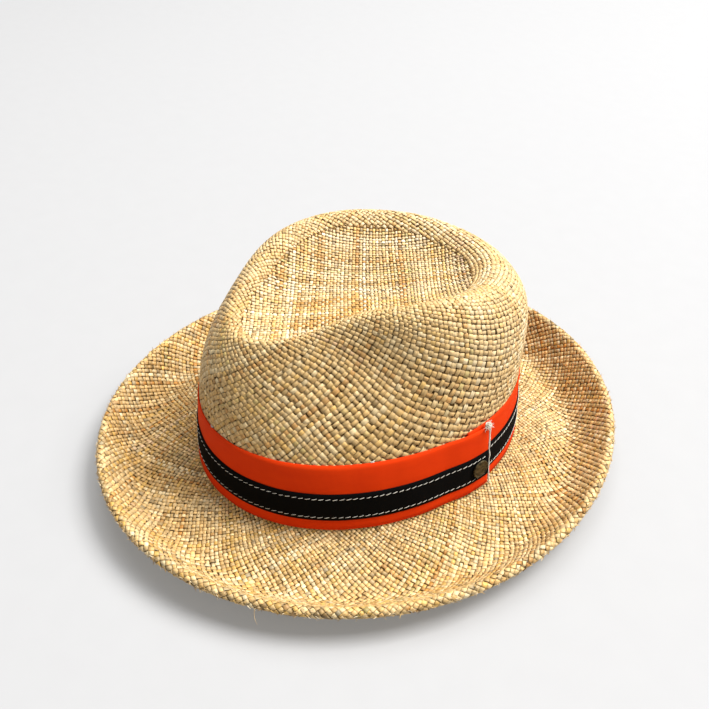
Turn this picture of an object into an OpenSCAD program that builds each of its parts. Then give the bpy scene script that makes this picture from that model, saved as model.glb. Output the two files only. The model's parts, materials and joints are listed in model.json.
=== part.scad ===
// Teardrop-crown straw fedora with a lapped two-tone ribbon band.
// The hat stands on its brim. +Z is up, the front of the hat faces -Y and
// the wearer's left is +X. The origin is on the table under the middle of the hat.
// Angles run round the crown from the front (0) by the wearer's left (90) to the back (180).

/* [Head] */
// Half the length of the crown base, outside the straw, front to back
base_a = 102.2; // [98:0.1:106]
// Half the width of the crown base, outside the straw
base_b = 86.2; // [82:0.1:90]
// How far the crown base is lifted at the sides
side_lift = 2.8; // [0:0.1:5]

/* [Brim] */
// Width of the brim at the front
brim_front = 55; // [50:0.5:62]
// Width of the brim at the back
brim_back = 55; // [50:0.5:62]
// Width of the brim at the sides
brim_side = 56.5; // [50:0.5:63]
// Height of the rolled-up edge above the crown base, at the front
edge_front = 16; // [12:0.5:20]
// Height of the rolled-up edge above the crown base, at the back
edge_back = 19.5; // [12:0.5:22]
// Height of the rolled-up edge above the crown base, at the sides
edge_side = 13.5; // [10:0.5:20]
// Depth of the brim's valley below the crown base
valley = 5; // [3:0.5:7]

/* [Straw] */
// Thickness of the woven straw
straw = 1.8; // [1.6:0.1:2]
// Width of the hem that is folded under the brim edge
hem_w = 11; // [10:0.5:13]
// Diameter of the wire inside the hem
wire_d = 1.2; // [1:0.1:1.4]
// Height of the crown's dished centre above the crown base
dish_z = 96; // [92:0.5:98]

/* [Ribbon] */
// Height of the ribbon band
ribbon_h = 43.5; // [40:0.5:46]
// Thickness of the ribbon
ribbon_t = 0.6; // [0.5:0.1:0.7]
// Thickness of the stripe sewn on the ribbon
stripe_t = 0.5; // [0.4:0.1:0.6]
// Angle of the end of the ribbon that laps on top
lap_deg = 111; // [110:1:116]

/* [Badge] */
// Diameter of the badge
badge_d = 10.8; // [9:0.2:12]
// Thickness of the badge at its edge
badge_t = 1.1; // [0.8:0.1:1.4]

/* [Sweatband] */
// Height of the sweatband inside the crown
sweat_h = 33; // [28:1:36]
// Thickness of the sweatband leather
sweat_t = 1; // [0.8:0.1:1.2]

/* [Hidden] */

// colours
straw_col = [0.80, 0.66, 0.42];
orange_col = [0.93, 0.27, 0.03];
black_col = [0.02, 0.02, 0.02];
thread_col = [0.90, 0.87, 0.78];
leather_col = [0.55, 0.36, 0.20];

NA = 72;            // stations round the hat
STEP = 360 / NA;

// Crown crest, every 15 degrees from the front: radius, height, roundness, side dent, dish edge height
CREST = [
    [80,  95,  6,  0, 92], [67,  97,  5,  2, 92.5], [50, 103,  5,  7, 94], [42, 108,  5, 12, 95],
    [40, 111,  5, 14, 96], [42, 113,  6, 11, 97], [47, 114,  8,  6, 98], [52, 115, 11,  2, 99],
    [60, 114, 13,  0, 100], [68, 112, 14,  0, 100], [72, 111, 15,  0, 100], [74, 110, 15,  0, 100],
    [74, 109, 15,  0, 100], [71, 110, 15,  0, 100], [69, 111, 14,  0, 100], [67, 111, 13,  0, 100],
    [65, 112, 12,  0, 100], [64, 112, 12,  0, 99], [62, 112, 12,  0, 98], [60, 112, 12,  2, 97],
    [60, 110, 11,  5, 96], [61, 106, 10,  5, 95], [65, 102,  9,  3, 94], [74,  97,  7,  1, 92.5]];

// cubic B-spline weights
function w4(f) = [pow(1 - f, 3) / 6, (3*f*f*f - 6*f*f + 4) / 6, (-3*f*f*f + 3*f*f + 3*f + 1) / 6, f*f*f / 6];
// value of column k of the crest table at angle a
function crest(a, k) = let (n = len(CREST), u = (a % 360 + 360) % 360 / 360 * n, i = floor(u), w = w4(u - i))
    w[0] * CREST[(i - 1 + n) % n][k] + w[1] * CREST[i % n][k] + w[2] * CREST[(i + 1) % n][k] + w[3] * CREST[(i + 2) % n][k];
// radius of an ellipse with half-axes p (front to back) and q (side to side)
function oval(a, p, q) = 1 / sqrt(pow(cos(a) / p, 2) + pow(sin(a) / q, 2));
function r_base(a) = oval(a, base_a, base_b);
function r_edge(a) = oval(a, base_a + (brim_front + brim_back) / 2 + (brim_front - brim_back) / 2 * cos(a), base_b + brim_side);
function z_edge(a) = (edge_front + edge_back) / 4 + edge_side / 2 + (edge_front - edge_back) / 2 * cos(a)
    + ((edge_front + edge_back) / 2 - edge_side) / 2 * cos(2 * a);
function z_base(a) = side_lift * (1 - cos(2 * a)) / 2;
// inward lean of the crown wall up to the top of the ribbon
function lean(a) = 3.2 + 1.7 * cos(a - 60);

// Control points of the straw's outer face at angle a, [radius, height], from the brim edge to the crown centre
function ctrl(a) = let (rb = r_base(a), re = r_edge(a), ze = z_edge(a), zb = z_base(a), zv = -valley,
        rc = crest(a, 0), zc = crest(a, 1), sh = crest(a, 2), dn = crest(a, 3), zq = crest(a, 4),
        tp = lean(a), rt = rb - tp, zt = ribbon_h + zb, ro = rc + 1.15 * sh, ri = rc - 1.1 * sh)
    [[re, ze], [re - 4.5, ze - 6.5], [re - 11, (zv + ze) / 2 - 5], [re - 19, zv - 1.5], [re - 30, zv + 1],
     [(re + rb) / 2 - 6, (zv + zb) * 0.4], [rb + 9, zb - 0.6], [rb + 1.2, zb - 0.6], [rb - 0.3, zb + 3],
     [rb - tp * 0.3, zb + 14], [rt, zt],
     [rt + (ro - rt) * 0.26 + 2.6 - dn * 0.55, zt + (zc - zt) * 0.33],
     [rt + (ro - rt) * 0.62 + 3.4 - dn, zt + (zc - zt) * 0.68],
     [ro, zc - sh * 0.75], [rc + sh * 0.42, zc + sh * 0.12], [rc - sh * 0.42, zc + sh * 0.05],
     [ri, zc - sh * 0.62], [ri * 0.62, zq], [ri * 0.30, dish_z], [0, dish_z]];
function pad3(c) = concat([c[0], c[0]], c, [c[len(c) - 1], c[len(c) - 1]]);
// point of the outer face, t from 0 at the edge to 1 at the crown centre; c is a padded control list
function at(c, t) = let (n = len(c) - 3, u = min(max(t, 0), 0.999999) * n, i = floor(u), w = w4(u - i))
    w[0] * c[i] + w[1] * c[i + 1] + w[2] * c[i + 2] + w[3] * c[i + 3];
// unit normal of the profile, pointing up on the brim and outward on the wall
function nrm(c, t) = let (d = at(c, t + 0.002) - at(c, t - 0.002), l = norm(d)) [d[1], -d[0]] / l;
// point at depth b under the outer face
function under(c, t, b) = at(c, t) - b * nrm(c, t);
// t at a distance s in from the edge, and t at height z on the wall, by halving
function t_in(c, s, lo = 0, hi = 0.3, k = 0) = k > 15 ? (lo + hi) / 2 :
    let (m = (lo + hi) / 2) norm(at(c, m) - c[0]) > s ? t_in(c, s, lo, m, k + 1) : t_in(c, s, m, hi, k + 1);
function t_wall(c, z, lo = 0.34, hi = 0.66, k = 0) = k > 17 ? (lo + hi) / 2 :
    let (m = (lo + hi) / 2) at(c, m)[1] > z ? t_wall(c, z, lo, m, k + 1) : t_wall(c, z, m, hi, k + 1);
function r_wall(c, z) = at(c, t_wall(c, z))[0];

CP = [for (i = [0:NA - 1]) pad3(ctrl(i * STEP))];
// the lowest point of the straw's under face rests on the table
low = min([for (c = CP) for (t = [0.09:0.01:0.24]) under(c, t, straw)[1]]);
lift = -low;
function xyz(a, p) = [p[0] * sin(a), -p[0] * cos(a), p[1] + lift];

// Triangles of a closed loop of m points swept round n stations
function ring_faces(n, m) = [for (i = [0:n - 1]) for (j = [0:m - 1]) let (a = i * m + j, b = i * m + (j + 1) % m,
    c = ((i + 1) % n) * m + (j + 1) % m, d = ((i + 1) % n) * m + j) each [[a, b, c], [a, c, d]]];
// The same for an open run, with flat ends
function run_faces(n, m) = concat(
    [for (i = [0:n - 2]) for (j = [0:m - 1]) let (a = i * m + j, b = i * m + (j + 1) % m,
        c = (i + 1) * m + (j + 1) % m, d = (i + 1) * m + j) each [[a, b, c], [a, c, d]]],
    [for (j = [1:m - 2]) [0, j + 1, j]], [for (j = [1:m - 2]) [(n - 1) * m, (n - 1) * m + j, (n - 1) * m + j + 1]]);
module ring(loops) { polyhedron([for (l = loops) each l], ring_faces(len(loops), len(loops[0]))); }
module run(loops) { polyhedron([for (l = loops) each l], run_faces(len(loops), len(loops[0]))); }

// ---- straw ----
pocket = wire_d / 2 + 0.4;                  // radius of the hem's wire pocket
tip = straw + pocket;                       // radius of the rolled edge
TO = [0.085, 0.115, 0.15, 0.19, 0.23, 0.28, 0.325, 0.355, 0.38, 0.405, 0.43, 0.475, 0.51, 0.54, 0.575, 0.615, 0.65, 0.68, 0.705, 0.73, 0.755, 0.78, 0.81, 0.845, 0.885, 0.93, 0.97];
// profile angles of the roll round the wire
function roll(c, t, rad, q) = under(c, t, tip) + rad * (cos(q) * nrm(c, t) - sin(q) * [-nrm(c, t)[1], nrm(c, t)[0]]);
function straw_loop(a, c) = let (t0 = t_in(c, tip), t1 = t_in(c, 6.4), t2 = t_in(c, hem_w), g = straw + 0.3)
    concat([for (q = [180, 135, 90, 45, 0]) xyz(a, roll(c, t0, tip, q))],
        [for (t = TO) xyz(a, at(c, t))],
        [for (k = [len(TO) - 1:-1:1]) xyz(a, under(c, TO[k], straw))],
        [xyz(a, under(c, t1, straw))],
        [for (q = [-30, 12, 54, 96, 138, 180]) xyz(a, roll(c, t0, pocket, q))],
        [xyz(a, under(c, t1, g)), xyz(a, under(c, t2, g)), xyz(a, under(c, t2, g + straw)), xyz(a, under(c, t1, g + straw))]);
module straw_body() {
    loops = [for (i = [0:NA - 1]) straw_loop(i * STEP, CP[i])];
    m = len(loops[0]); n = NA;
    k = 5 + len(TO) - 1;                    // last outer point before the centre
    pts = concat([for (l = loops) each l], [[0, 0, dish_z + lift], [0, 0, dish_z + lift - straw]]);
    f = concat([for (i = [0:n - 1]) for (j = [0:m - 1]) if (j != k) let (p = i * m + j, q = i * m + (j + 1) % m,
            r = ((i + 1) % n) * m + (j + 1) % m, s = ((i + 1) % n) * m + j) each [[p, q, r], [p, r, s]]],
        [for (i = [0:n - 1]) [i * m + k, n * m, ((i + 1) % n) * m + k]],
        [for (i = [0:n - 1]) [i * m + k + 1, ((i + 1) % n) * m + k + 1, n * m + 1]]);
    color(straw_col) polyhedron(pts, f);
}

// ---- brim wire and hem ----
wire_cut = 0.05;                            // the wire's ends stop this many degrees short of the back
function wire_mid(a, c) = under(c, t_in(c, tip), tip);
function wire_c(a) = pad3(ctrl(a));
module brim_wire() {
    as = concat([180 + wire_cut, 181], [for (i = [1:NA - 1]) 180 + i * STEP], [539, 540 - wire_cut]);
    color("silver") run([for (a = as) let (p = wire_mid(a, wire_c(a)))
        [for (q = [0:60:300]) xyz(a, p + wire_d / 2 * [cos(q), -sin(q)])]]);
}
// thin sleeve over the wire's two ends
module wire_joiner() {
    p = wire_mid(180, wire_c(180));
    color("gray") translate([0, p[0], p[1] + lift]) rotate([0, 90, 0]) difference() {
        cylinder(h = 3, r = wire_d / 2 + 0.25, center = true, $fn = 32);
        cylinder(h = 5, r = wire_d / 2 + 0.1, center = true, $fn = 32);
    }
}
module hem_stitches() {
    color(thread_col) ring([for (i = [0:NA - 1]) let (a = i * STEP, c = CP[i], t = t_in(c, hem_w - 1.6), t2 = t_in(c, hem_w - 2.3), g = 2 * straw + 0.36)
        [xyz(a, under(c, t, g)), xyz(a, under(c, t, g + 0.35)), xyz(a, under(c, t2, g + 0.35)), xyz(a, under(c, t2, g))]]);
}

// ---- ribbon ----
gap = 0.25;                                 // ribbon to straw
under_lap = 9;                              // degrees of ribbon hidden under the lap
foot = 2.2;                                 // lower edge of the ribbon above the crown base
// how far the ribbon's inner face stands off the straw, s in degrees along the ribbon from its hidden end
s0 = lap_deg - under_lap;                   // hidden end
s1 = lap_deg + 360;                         // lapped end
function smooth(x) = let (y = min(max(x, 0), 1)) y * y * (3 - 2 * y);
function off(s) = gap + 2.1 * smooth((s - (s1 - 21)) / 14) + 0.7 * smooth((s - (s1 - 9)) / 9);
RZ = [0, 0.163, 0.36, 0.594, 0.8, 1];       // heights that the ribbon's faces pass through, as shares of its height
function rz(k) = foot + (ribbon_h - foot) * k;
function r_on(a, c, k) = let (z = z_base(a) + rz(k)) [r_wall(c, z), z];
// a strip on the ribbon: heights ks, inner offset d0 and outer offset d1 beyond the straw
function strip(s, ks, d0, d1) = let (c = pad3(ctrl(s)), e = off(s))
    concat([for (k = ks) xyz(s, r_on(s, c, k) + [e - gap + d1, 0])],
           [for (j = [len(ks) - 1:-1:0]) xyz(s, r_on(s, c, ks[j]) + [e - gap + d0, 0])]);
function stations(p, q) = concat([p], [for (s = [ceil((p + 0.8) / STEP) * STEP:STEP:q - 0.8]) s], [q]);
function lap_stations(p, q) = concat([for (s = stations(p, q)) if (s < s1 - 22) s],
    [for (s = [s1 - 21:2:s1 - 1.5]) s], [q]);
d_base = gap + ribbon_t;
d_stripe = d_base + 0.1;
d_thread = d_stripe + stripe_t + 0.04;
stripe_lo = 0.163;                          // stripe edges as shares of the ribbon's height
stripe_hi = 0.594;

// place on the lapped end where the badge sits: a frame with its Z out of the ribbon
badge_s = s1 - 5;
badge_k = 0.375;
function rib_pt(s, k, d) = let (c = pad3(ctrl(s))) xyz(s, r_on(s, c, k) + [off(s) - gap + d, 0]);
b_p = rib_pt(badge_s, badge_k, d_stripe + stripe_t);
b_u = rib_pt(badge_s + 1, badge_k, d_stripe + stripe_t) - rib_pt(badge_s - 1, badge_k, d_stripe + stripe_t);
b_v = rib_pt(badge_s, badge_k + 0.05, d_stripe + stripe_t) - rib_pt(badge_s, badge_k - 0.05, d_stripe + stripe_t);
b_n = cross(b_u, b_v) / norm(cross(b_u, b_v));
b_az = atan2(b_n[1], b_n[0]);
b_el = acos(b_n[2]);
module at_badge() { translate(b_p) rotate([0, b_el, b_az]) children(); }
post_r = 0.6;
hole_r = 0.75;
module post_hole() { at_badge() cylinder(h = 8, r = hole_r, center = true, $fn = 32); }

module ribbon_base() {
    color(orange_col) difference() {
        run([for (s = lap_stations(s0, s1)) strip(s, RZ, gap, d_base)]);
        post_hole();
    }
}
module ribbon_stripe() {
    color(black_col) difference() {
        run([for (s = lap_stations(s0, s1)) strip(s, [stripe_lo, 0.36, stripe_hi], d_stripe, d_stripe + stripe_t)]);
        post_hole();
    }
}
// running stitches, drawn as a thread line of the stitches' width and height
module stitch_line(k) {
    color(thread_col) run([for (s = lap_stations(lap_deg + 1, s1 - 0.3)) strip(s, [k - 0.009, k + 0.009], d_thread, d_thread + 0.3)]);
}
module stripe_stitches_upper() { stitch_line(stripe_hi - 0.076); }
module stripe_stitches_lower() { stitch_line(stripe_lo + 0.056); }
// short stitches that hold the ribbon's top edge to the straw, at the front, back and sides
module ribbon_tacks() {
    color(thread_col) for (a = [2, 62, 182, 242, 302]) {
        c = pad3(ctrl(a));
        p = xyz(a, r_on(a, c, 1) + [0.45, 0.55]);
        translate(p) rotate([0, 0, a]) rotate([0, 90, 0]) cylinder(h = 2.6, r = 0.28, center = true, $fn = 16);
    }
}
// twisted thread sewn down the lapped end, and the knot at its top
TK = [1.0, 0.86, 0.72, 0.58, 0.44, 0.3, 0.15, 0.0, -0.035];
function lap_mid(k) = let (s = s1 + 0.75, c = pad3(ctrl(s)), p = r_on(s, c, max(k, 0))) [s, p + [off(s1) - gap + d_stripe - 0.3, k < 0 ? k * 40 : 0]];
module lap_thread() {
    color(thread_col) run([for (k = TK) let (m = lap_mid(k), s = m[0], p = m[1])
        [for (q = [0:45:315]) xyz(s + 0.5 * cos(q) * 0.62, p + [0.5 * sin(q), 0])]]);
}
module lap_knot() {
    m = lap_mid(1);
    color(thread_col) {
        translate(xyz(s1 + 0.5, m[1] + [-0.3, 1.3])) sphere(r = 1.25, $fn = 24);
        translate(xyz(s1 - 0.9, m[1] + [-0.35, 1.35])) sphere(r = 1.15, $fn = 24);
        translate(xyz(s1 - 2.2, m[1] + [-0.4, 1.2])) sphere(r = 0.95, $fn = 24);
    }
}

// ---- badge ----
module badge_disc() {
    color([0.30, 0.26, 0.16]) at_badge() translate([0, 0, 0.45]) difference() {
        cylinder(h = badge_t, r = badge_d / 2, $fn = 64);
        translate([0, 0, badge_t - 0.35]) cylinder(h = 1, r = badge_d / 2 - 0.7, $fn = 64);
    }
}
// the post is soldered to the back of the disc and ends in the backplate
back_in = stripe_t + ribbon_t + 0.1 + 0.35;   // backplate face under the stripe's outer face
module badge_post() {
    color("darkgoldenrod") at_badge() translate([0, 0, -back_in]) cylinder(h = back_in + 0.45, r = post_r, $fn = 32);
}
module badge_backplate() {
    color("darkgoldenrod") at_badge() translate([0, 0, -back_in - 0.5]) cylinder(h = 0.5, r = 2.2, $fn = 32);
}

// ---- sweatband ----
sweat_off = 0.6;                            // sweatband to straw
function in_r(a, c, z) = let (zz = z_base(a) + z, t = t_wall(c, zz + 0.01)) r_wall(c, zz) - straw / max(nrm(c, t)[0], 0.6);
SZ = [1.5, 5, 9, 14, 20, 26, 33];
function sweat_pt(a, c, z, d) = xyz(a, [min(in_r(a, c, max(z, 5)), in_r(a, c, 8) + 0.6) - sweat_off - d, z_base(a) + z]);
module sweatband() {
    as = concat([180.35], [for (i = [1:NA - 1]) 180 + i * STEP], [539.65]);
    color(leather_col) run([for (a = as) let (c = pad3(ctrl(a)))
        concat([for (z = SZ) sweat_pt(a, c, z * sweat_h / 33, 0)], [for (j = [len(SZ) - 1:-1:0]) sweat_pt(a, c, SZ[j] * sweat_h / 33, sweat_t)])]);
}
// thin reed along the sweatband's lower edge
module sweatband_reed() {
    color(leather_col * 0.8) ring([for (i = [0:NA - 1]) let (a = i * STEP, c = CP[i], r = in_r(a, c, 5) - sweat_off - sweat_t / 2)
        [for (q = [0:60:300]) xyz(a, [r + 0.75 * cos(q), z_base(a) + 0.6 - 0.75 * sin(q)])]]);
}
module sweatband_stitches() {
    color(thread_col) ring([for (i = [0:NA - 1]) let (a = i * STEP, c = CP[i], p = [min(in_r(a, c, 5), in_r(a, c, 8) + 0.6) - sweat_off - sweat_t - 0.06, z_base(a) + 3.6])
        [xyz(a, p + [0, 0.25]), xyz(a, p + [0, -0.25]), xyz(a, p + [-0.3, -0.25]), xyz(a, p + [-0.3, 0.25])]]);
}
// cross stitches over the sweatband's butted back seam
module sweatband_seam_stitches() {
    c = pad3(ctrl(180));
    color(thread_col) for (z = [6:4:30]) {
        p = sweat_pt(180, c, z * sweat_h / 33, sweat_t + 0.35);
        translate(p) rotate([0, 90, 0]) cylinder(h = 3.2, r = 0.22, center = true, $fn = 16);
    }
}
// small flat bow at the foot of the back seam
bow_w = 24;
module bow_loop(sg) {
    c = pad3(ctrl(180));
    p = sweat_pt(180, c, 10, sweat_t + 1.7);
    translate([sg * 7.2, p[1] - 0.25 - 0.0, p[2]]) rotate([90, 0, 0]) linear_extrude(1.0, center = true)
        difference() { polygon([[-4.4, 0.9], [2, 3.2], [4.4, 2.6], [4.4, -2.6], [2, -3.2], [-4.4, -0.9]]); translate([0.6, 0]) polygon([[-3, 0.35], [1.2, 1.8], [2.6, 1.5], [2.6, -1.5], [1.2, -1.8], [-3, -0.35]]); }
}
module sweatband_bow() {
    c = pad3(ctrl(180));
    p = sweat_pt(180, c, 10, sweat_t + 1.7);
    color(black_col) union() {
        bow_loop(1); mirror([1, 0, 0]) bow_loop(1);
        translate([-3, p[1] - 1.05, p[2] - 1.6]) cube([6, 1.6, 3.2]);
    }
}
// blank woven tab sewn on the sweatband beside the back seam
module size_label() {
    color([0.92, 0.9, 0.85]) run([for (a = [197, 200, 203, 206]) let (c = pad3(ctrl(a)))
        [for (z = [12, 24]) sweat_pt(a, c, z, sweat_t + 0.2), for (z = [24, 12]) sweat_pt(a, c, z, sweat_t + 0.6)]]);
}

straw_body();
brim_wire();
wire_joiner();
hem_stitches();
ribbon_base();
ribbon_stripe();
stripe_stitches_upper();
stripe_stitches_lower();
ribbon_tacks();
lap_thread();
lap_knot();
badge_disc();
badge_post();
badge_backplate();
sweatband();
sweatband_reed();
sweatband_stitches();
sweatband_seam_stitches();
sweatband_bow();
size_label();
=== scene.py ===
import bpy
import json
import math
import numpy as np
from mathutils import Matrix, Vector


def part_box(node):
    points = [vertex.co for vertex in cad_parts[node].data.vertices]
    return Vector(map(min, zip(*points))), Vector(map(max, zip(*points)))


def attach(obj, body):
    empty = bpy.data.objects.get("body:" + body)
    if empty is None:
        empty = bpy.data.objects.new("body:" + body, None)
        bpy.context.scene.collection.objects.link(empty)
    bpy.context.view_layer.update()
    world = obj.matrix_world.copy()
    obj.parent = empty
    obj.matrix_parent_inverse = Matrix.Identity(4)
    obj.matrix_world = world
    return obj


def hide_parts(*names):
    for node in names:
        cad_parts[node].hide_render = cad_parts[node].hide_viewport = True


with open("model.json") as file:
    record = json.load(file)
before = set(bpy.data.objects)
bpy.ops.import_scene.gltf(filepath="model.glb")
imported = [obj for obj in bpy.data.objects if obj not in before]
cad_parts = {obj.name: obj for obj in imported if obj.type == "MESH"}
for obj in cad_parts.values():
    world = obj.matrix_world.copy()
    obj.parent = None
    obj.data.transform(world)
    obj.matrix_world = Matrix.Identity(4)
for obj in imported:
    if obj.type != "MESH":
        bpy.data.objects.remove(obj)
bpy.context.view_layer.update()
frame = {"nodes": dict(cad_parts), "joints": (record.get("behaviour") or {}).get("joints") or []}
MM = 0.001
rng = np.random.default_rng(20260)
scene = bpy.context.scene

# ------------------------------------------------------------------ the straw's outer face
# Millimetres, crown base at 0; the same face that the CAD straw has.
A, B, SIDE_LIFT = 102.2, 86.2, 2.8
BRIM_F, BRIM_K, BRIM_S = 55.0, 55.0, 56.5
EDGE_F, EDGE_K, EDGE_S = 16.0, 19.5, 13.5
VALLEY, RIB_H, DISH_Z, STRAW, POCKET = -5.0, 43.5, 96.0, 1.8, 1.0
TIP = STRAW + POCKET
LIFT = 7.10262
CREST_R = [80, 67, 50, 42, 40, 42, 47, 52, 60, 68, 72, 74, 74, 71, 69, 67, 65, 64, 62, 60, 60, 61, 65, 74]
CREST_Z = [95, 97, 103, 108, 111, 113, 114, 115, 114, 112, 111, 110, 109, 110, 111, 111, 112, 112, 112, 112, 110, 106, 102, 97]
ROUND = [6, 5, 5, 5, 5, 6, 8, 11, 13, 14, 15, 15, 15, 15, 14, 13, 12, 12, 12, 12, 11, 10, 9, 7]
DENT = [0, 2, 7, 12, 14, 11, 6, 2, 0, 0, 0, 0, 0, 0, 0, 0, 0, 0, 0, 2, 5, 5, 3, 1]
DISH_E = [92, 92.5, 94, 95, 96, 97, 98, 99, 100, 100, 100, 100, 100, 100, 100, 100, 100, 99, 98, 97, 96, 95, 94, 92.5]


def loop_spline(table, ph):
    t = np.asarray(table, float)
    n = len(t)
    u = (ph / (2 * np.pi) * n) % n
    i = np.floor(u).astype(int)
    f = u - i
    w = [(1 - f) ** 3 / 6, (3 * f ** 3 - 6 * f ** 2 + 4) / 6, (-3 * f ** 3 + 3 * f ** 2 + 3 * f + 1) / 6, f ** 3 / 6]
    return sum(w[k] * t[(i + k - 1) % n] for k in range(4))


def oval(ph, a, b):
    return 1 / np.sqrt((np.cos(ph) / a) ** 2 + (np.sin(ph) / b) ** 2)


def base_z(ph):
    return SIDE_LIFT * (1 - np.cos(2 * ph)) / 2


def controls(ph):
    c = np.cos(ph)
    rb = oval(ph, A, B)
    re = oval(ph, A + (BRIM_F + BRIM_K) / 2 + (BRIM_F - BRIM_K) / 2 * c, B + BRIM_S)
    ze = (EDGE_F + EDGE_K) / 4 + EDGE_S / 2 + (EDGE_F - EDGE_K) / 2 * c + ((EDGE_F + EDGE_K) / 2 - EDGE_S) / 2 * np.cos(2 * ph)
    zb = base_z(ph)
    rc, zc, sh, dn, zq = (loop_spline(t, ph) for t in (CREST_R, CREST_Z, ROUND, DENT, DISH_E))
    tp = 3.2 + 1.7 * np.cos(ph - np.pi / 3)
    rt, zt, zv = rb - tp, RIB_H + zb, VALLEY
    ro, ri = rc + 1.15 * sh, rc - 1.1 * sh
    pts = [(re, ze), (re - 4.5, ze - 6.5), (re - 11, (zv + ze) / 2 - 5), (re - 19, zv - 1.5 + 0 * ph), (re - 30, zv + 1 + 0 * ph),
           ((re + rb) / 2 - 6, (zv + zb) * 0.4), (rb + 9, zb - 0.6), (rb + 1.2, zb - 0.6), (rb - 0.3, zb + 3), (rb - tp * 0.3, zb + 14),
           (rt, zt), (rt + (ro - rt) * 0.26 + 2.6 - dn * 0.55, zt + (zc - zt) * 0.33),
           (rt + (ro - rt) * 0.62 + 3.4 - dn, zt + (zc - zt) * 0.68), (ro, zc - sh * 0.75), (rc + sh * 0.42, zc + sh * 0.12),
           (rc - sh * 0.42, zc + sh * 0.05), (ri, zc - sh * 0.62), (ri * 0.62, zq), (ri * 0.30, DISH_Z + 0 * ph), (0 * ph, DISH_Z + 0 * ph)]
    return np.stack([np.stack(p, -1) for p in pts], 1)


NP, NT = 720, 1051
PH = np.arange(NP + 1) * 2 * np.pi / NP
TT = np.linspace(0, 1, NT)
_c = controls(PH)
_c = np.concatenate([_c[:, :1], _c[:, :1], _c, _c[:, -1:], _c[:, -1:]], 1)
_u = np.clip(TT * 21, 0, 21 - 1e-9)
_i = np.floor(_u).astype(int)
_f = (_u - _i)[None, :, None]
_w = [(1 - _f) ** 3 / 6, (3 * _f ** 3 - 6 * _f ** 2 + 4) / 6, (-3 * _f ** 3 + 3 * _f ** 2 + 3 * _f + 1) / 6, _f ** 3 / 6]
RZ = sum(_w[k] * _c[:, _i + k] for k in range(4))            # (NP+1, NT, 2)
_d = np.gradient(RZ, axis=1)
_l = np.maximum(np.linalg.norm(_d, axis=-1, keepdims=True), 1e-9)
RZN = np.stack([_d[..., 1], -_d[..., 0]], -1) / _l           # profile normal
RZN[:, -1] = (0, 1)


def to_xyz(ph, r, z):
    return np.stack([r * np.sin(ph), -r * np.cos(ph), z + LIFT], -1)


def field(rz, ph=PH):
    """Points and outward normals of a face given as a grid of (r, z) by angle."""
    x = to_xyz(ph[:, None], rz[..., 0], rz[..., 1])
    du = np.empty_like(x)
    du[1:-1] = x[2:] - x[:-2]
    du[0] = du[-1] = x[1] - x[-2]
    n = np.cross(du, np.gradient(x, axis=1))
    n /= np.maximum(np.linalg.norm(n, axis=-1, keepdims=True), 1e-12)
    return x, n


FACE_X, FACE_N = field(RZ)
FACE_N[:, -2:] = (0, 0, 1)


def look(grids, ph, v):
    """Bilinear look-up in grids over angle (periodic) and 0..1."""
    n = grids[0].shape[1]
    a = (ph / (2 * np.pi) * NP) % NP
    i = np.minimum(a.astype(int), NP - 1)
    fa = (a - i)[:, None]
    b = np.clip(v, 0, 1) * (n - 1)
    j = np.minimum(b.astype(int), n - 2)
    fb = (b - j)[:, None]
    out = []
    for g in grids:
        q = g[i, j] * (1 - fa) * (1 - fb) + g[i + 1, j] * fa * (1 - fb) + g[i, j + 1] * (1 - fa) * fb + g[i + 1, j + 1] * fa * fb
        out.append(q)
    out[1] = out[1] / np.maximum(np.linalg.norm(out[1], axis=-1, keepdims=True), 1e-12)
    return out


# radius of the wall by angle and height
WZ = np.arange(-2.0, 70.0, 0.25)
_ta, _tb = int(0.335 * NT), int(0.68 * NT)
WALL_R = np.array([np.interp(WZ, RZ[i, _ta:_tb, 1], RZ[i, _ta:_tb, 0]) for i in range(NP + 1)])


def wall_r(ph, z):
    a = (ph / (2 * np.pi) * NP) % NP
    i = np.minimum(a.astype(int), NP - 1)
    fa = a - i
    b = np.clip((z - WZ[0]) / 0.25, 0, len(WZ) - 1.001)
    j = b.astype(int)
    fb = b - j
    g = WALL_R
    return g[i, j] * (1 - fa) * (1 - fb) + g[i + 1, j] * fa * (1 - fb) + g[i, j + 1] * (1 - fa) * fb + g[i + 1, j + 1] * fa * fb


# ------------------------------------------------------------------ mesh helpers
def make(name, verts, faces, mat, body="hat", nodes=(), slot=None, smooth=True, attrs=None):
    me = bpy.data.meshes.new(name)
    verts = np.asarray(verts, float) * MM
    faces = np.asarray(faces, np.int64) if not isinstance(faces, list) else faces
    me.from_pydata(verts.tolist(), [], faces.tolist() if isinstance(faces, np.ndarray) else faces)
    if smooth:
        me.polygons.foreach_set("use_smooth", [True] * len(me.polygons))
    for k, v in (attrs or {}).items():
        v = np.asarray(v, np.float32)
        if v.shape[1] == 4:
            a = me.attributes.new(k, "FLOAT_COLOR", "POINT")
            a.data.foreach_set("color", v.ravel())
        else:
            a = me.attributes.new(k, "FLOAT_VECTOR", "POINT")
            a.data.foreach_set("vector", v.ravel())
    me.materials.append(mat)
    me.validate()
    me.update()
    ob = bpy.data.objects.new(name, me)
    scene.collection.objects.link(ob)
    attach(ob, body)
    if nodes:
        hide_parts(*nodes)
    return ob


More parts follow.
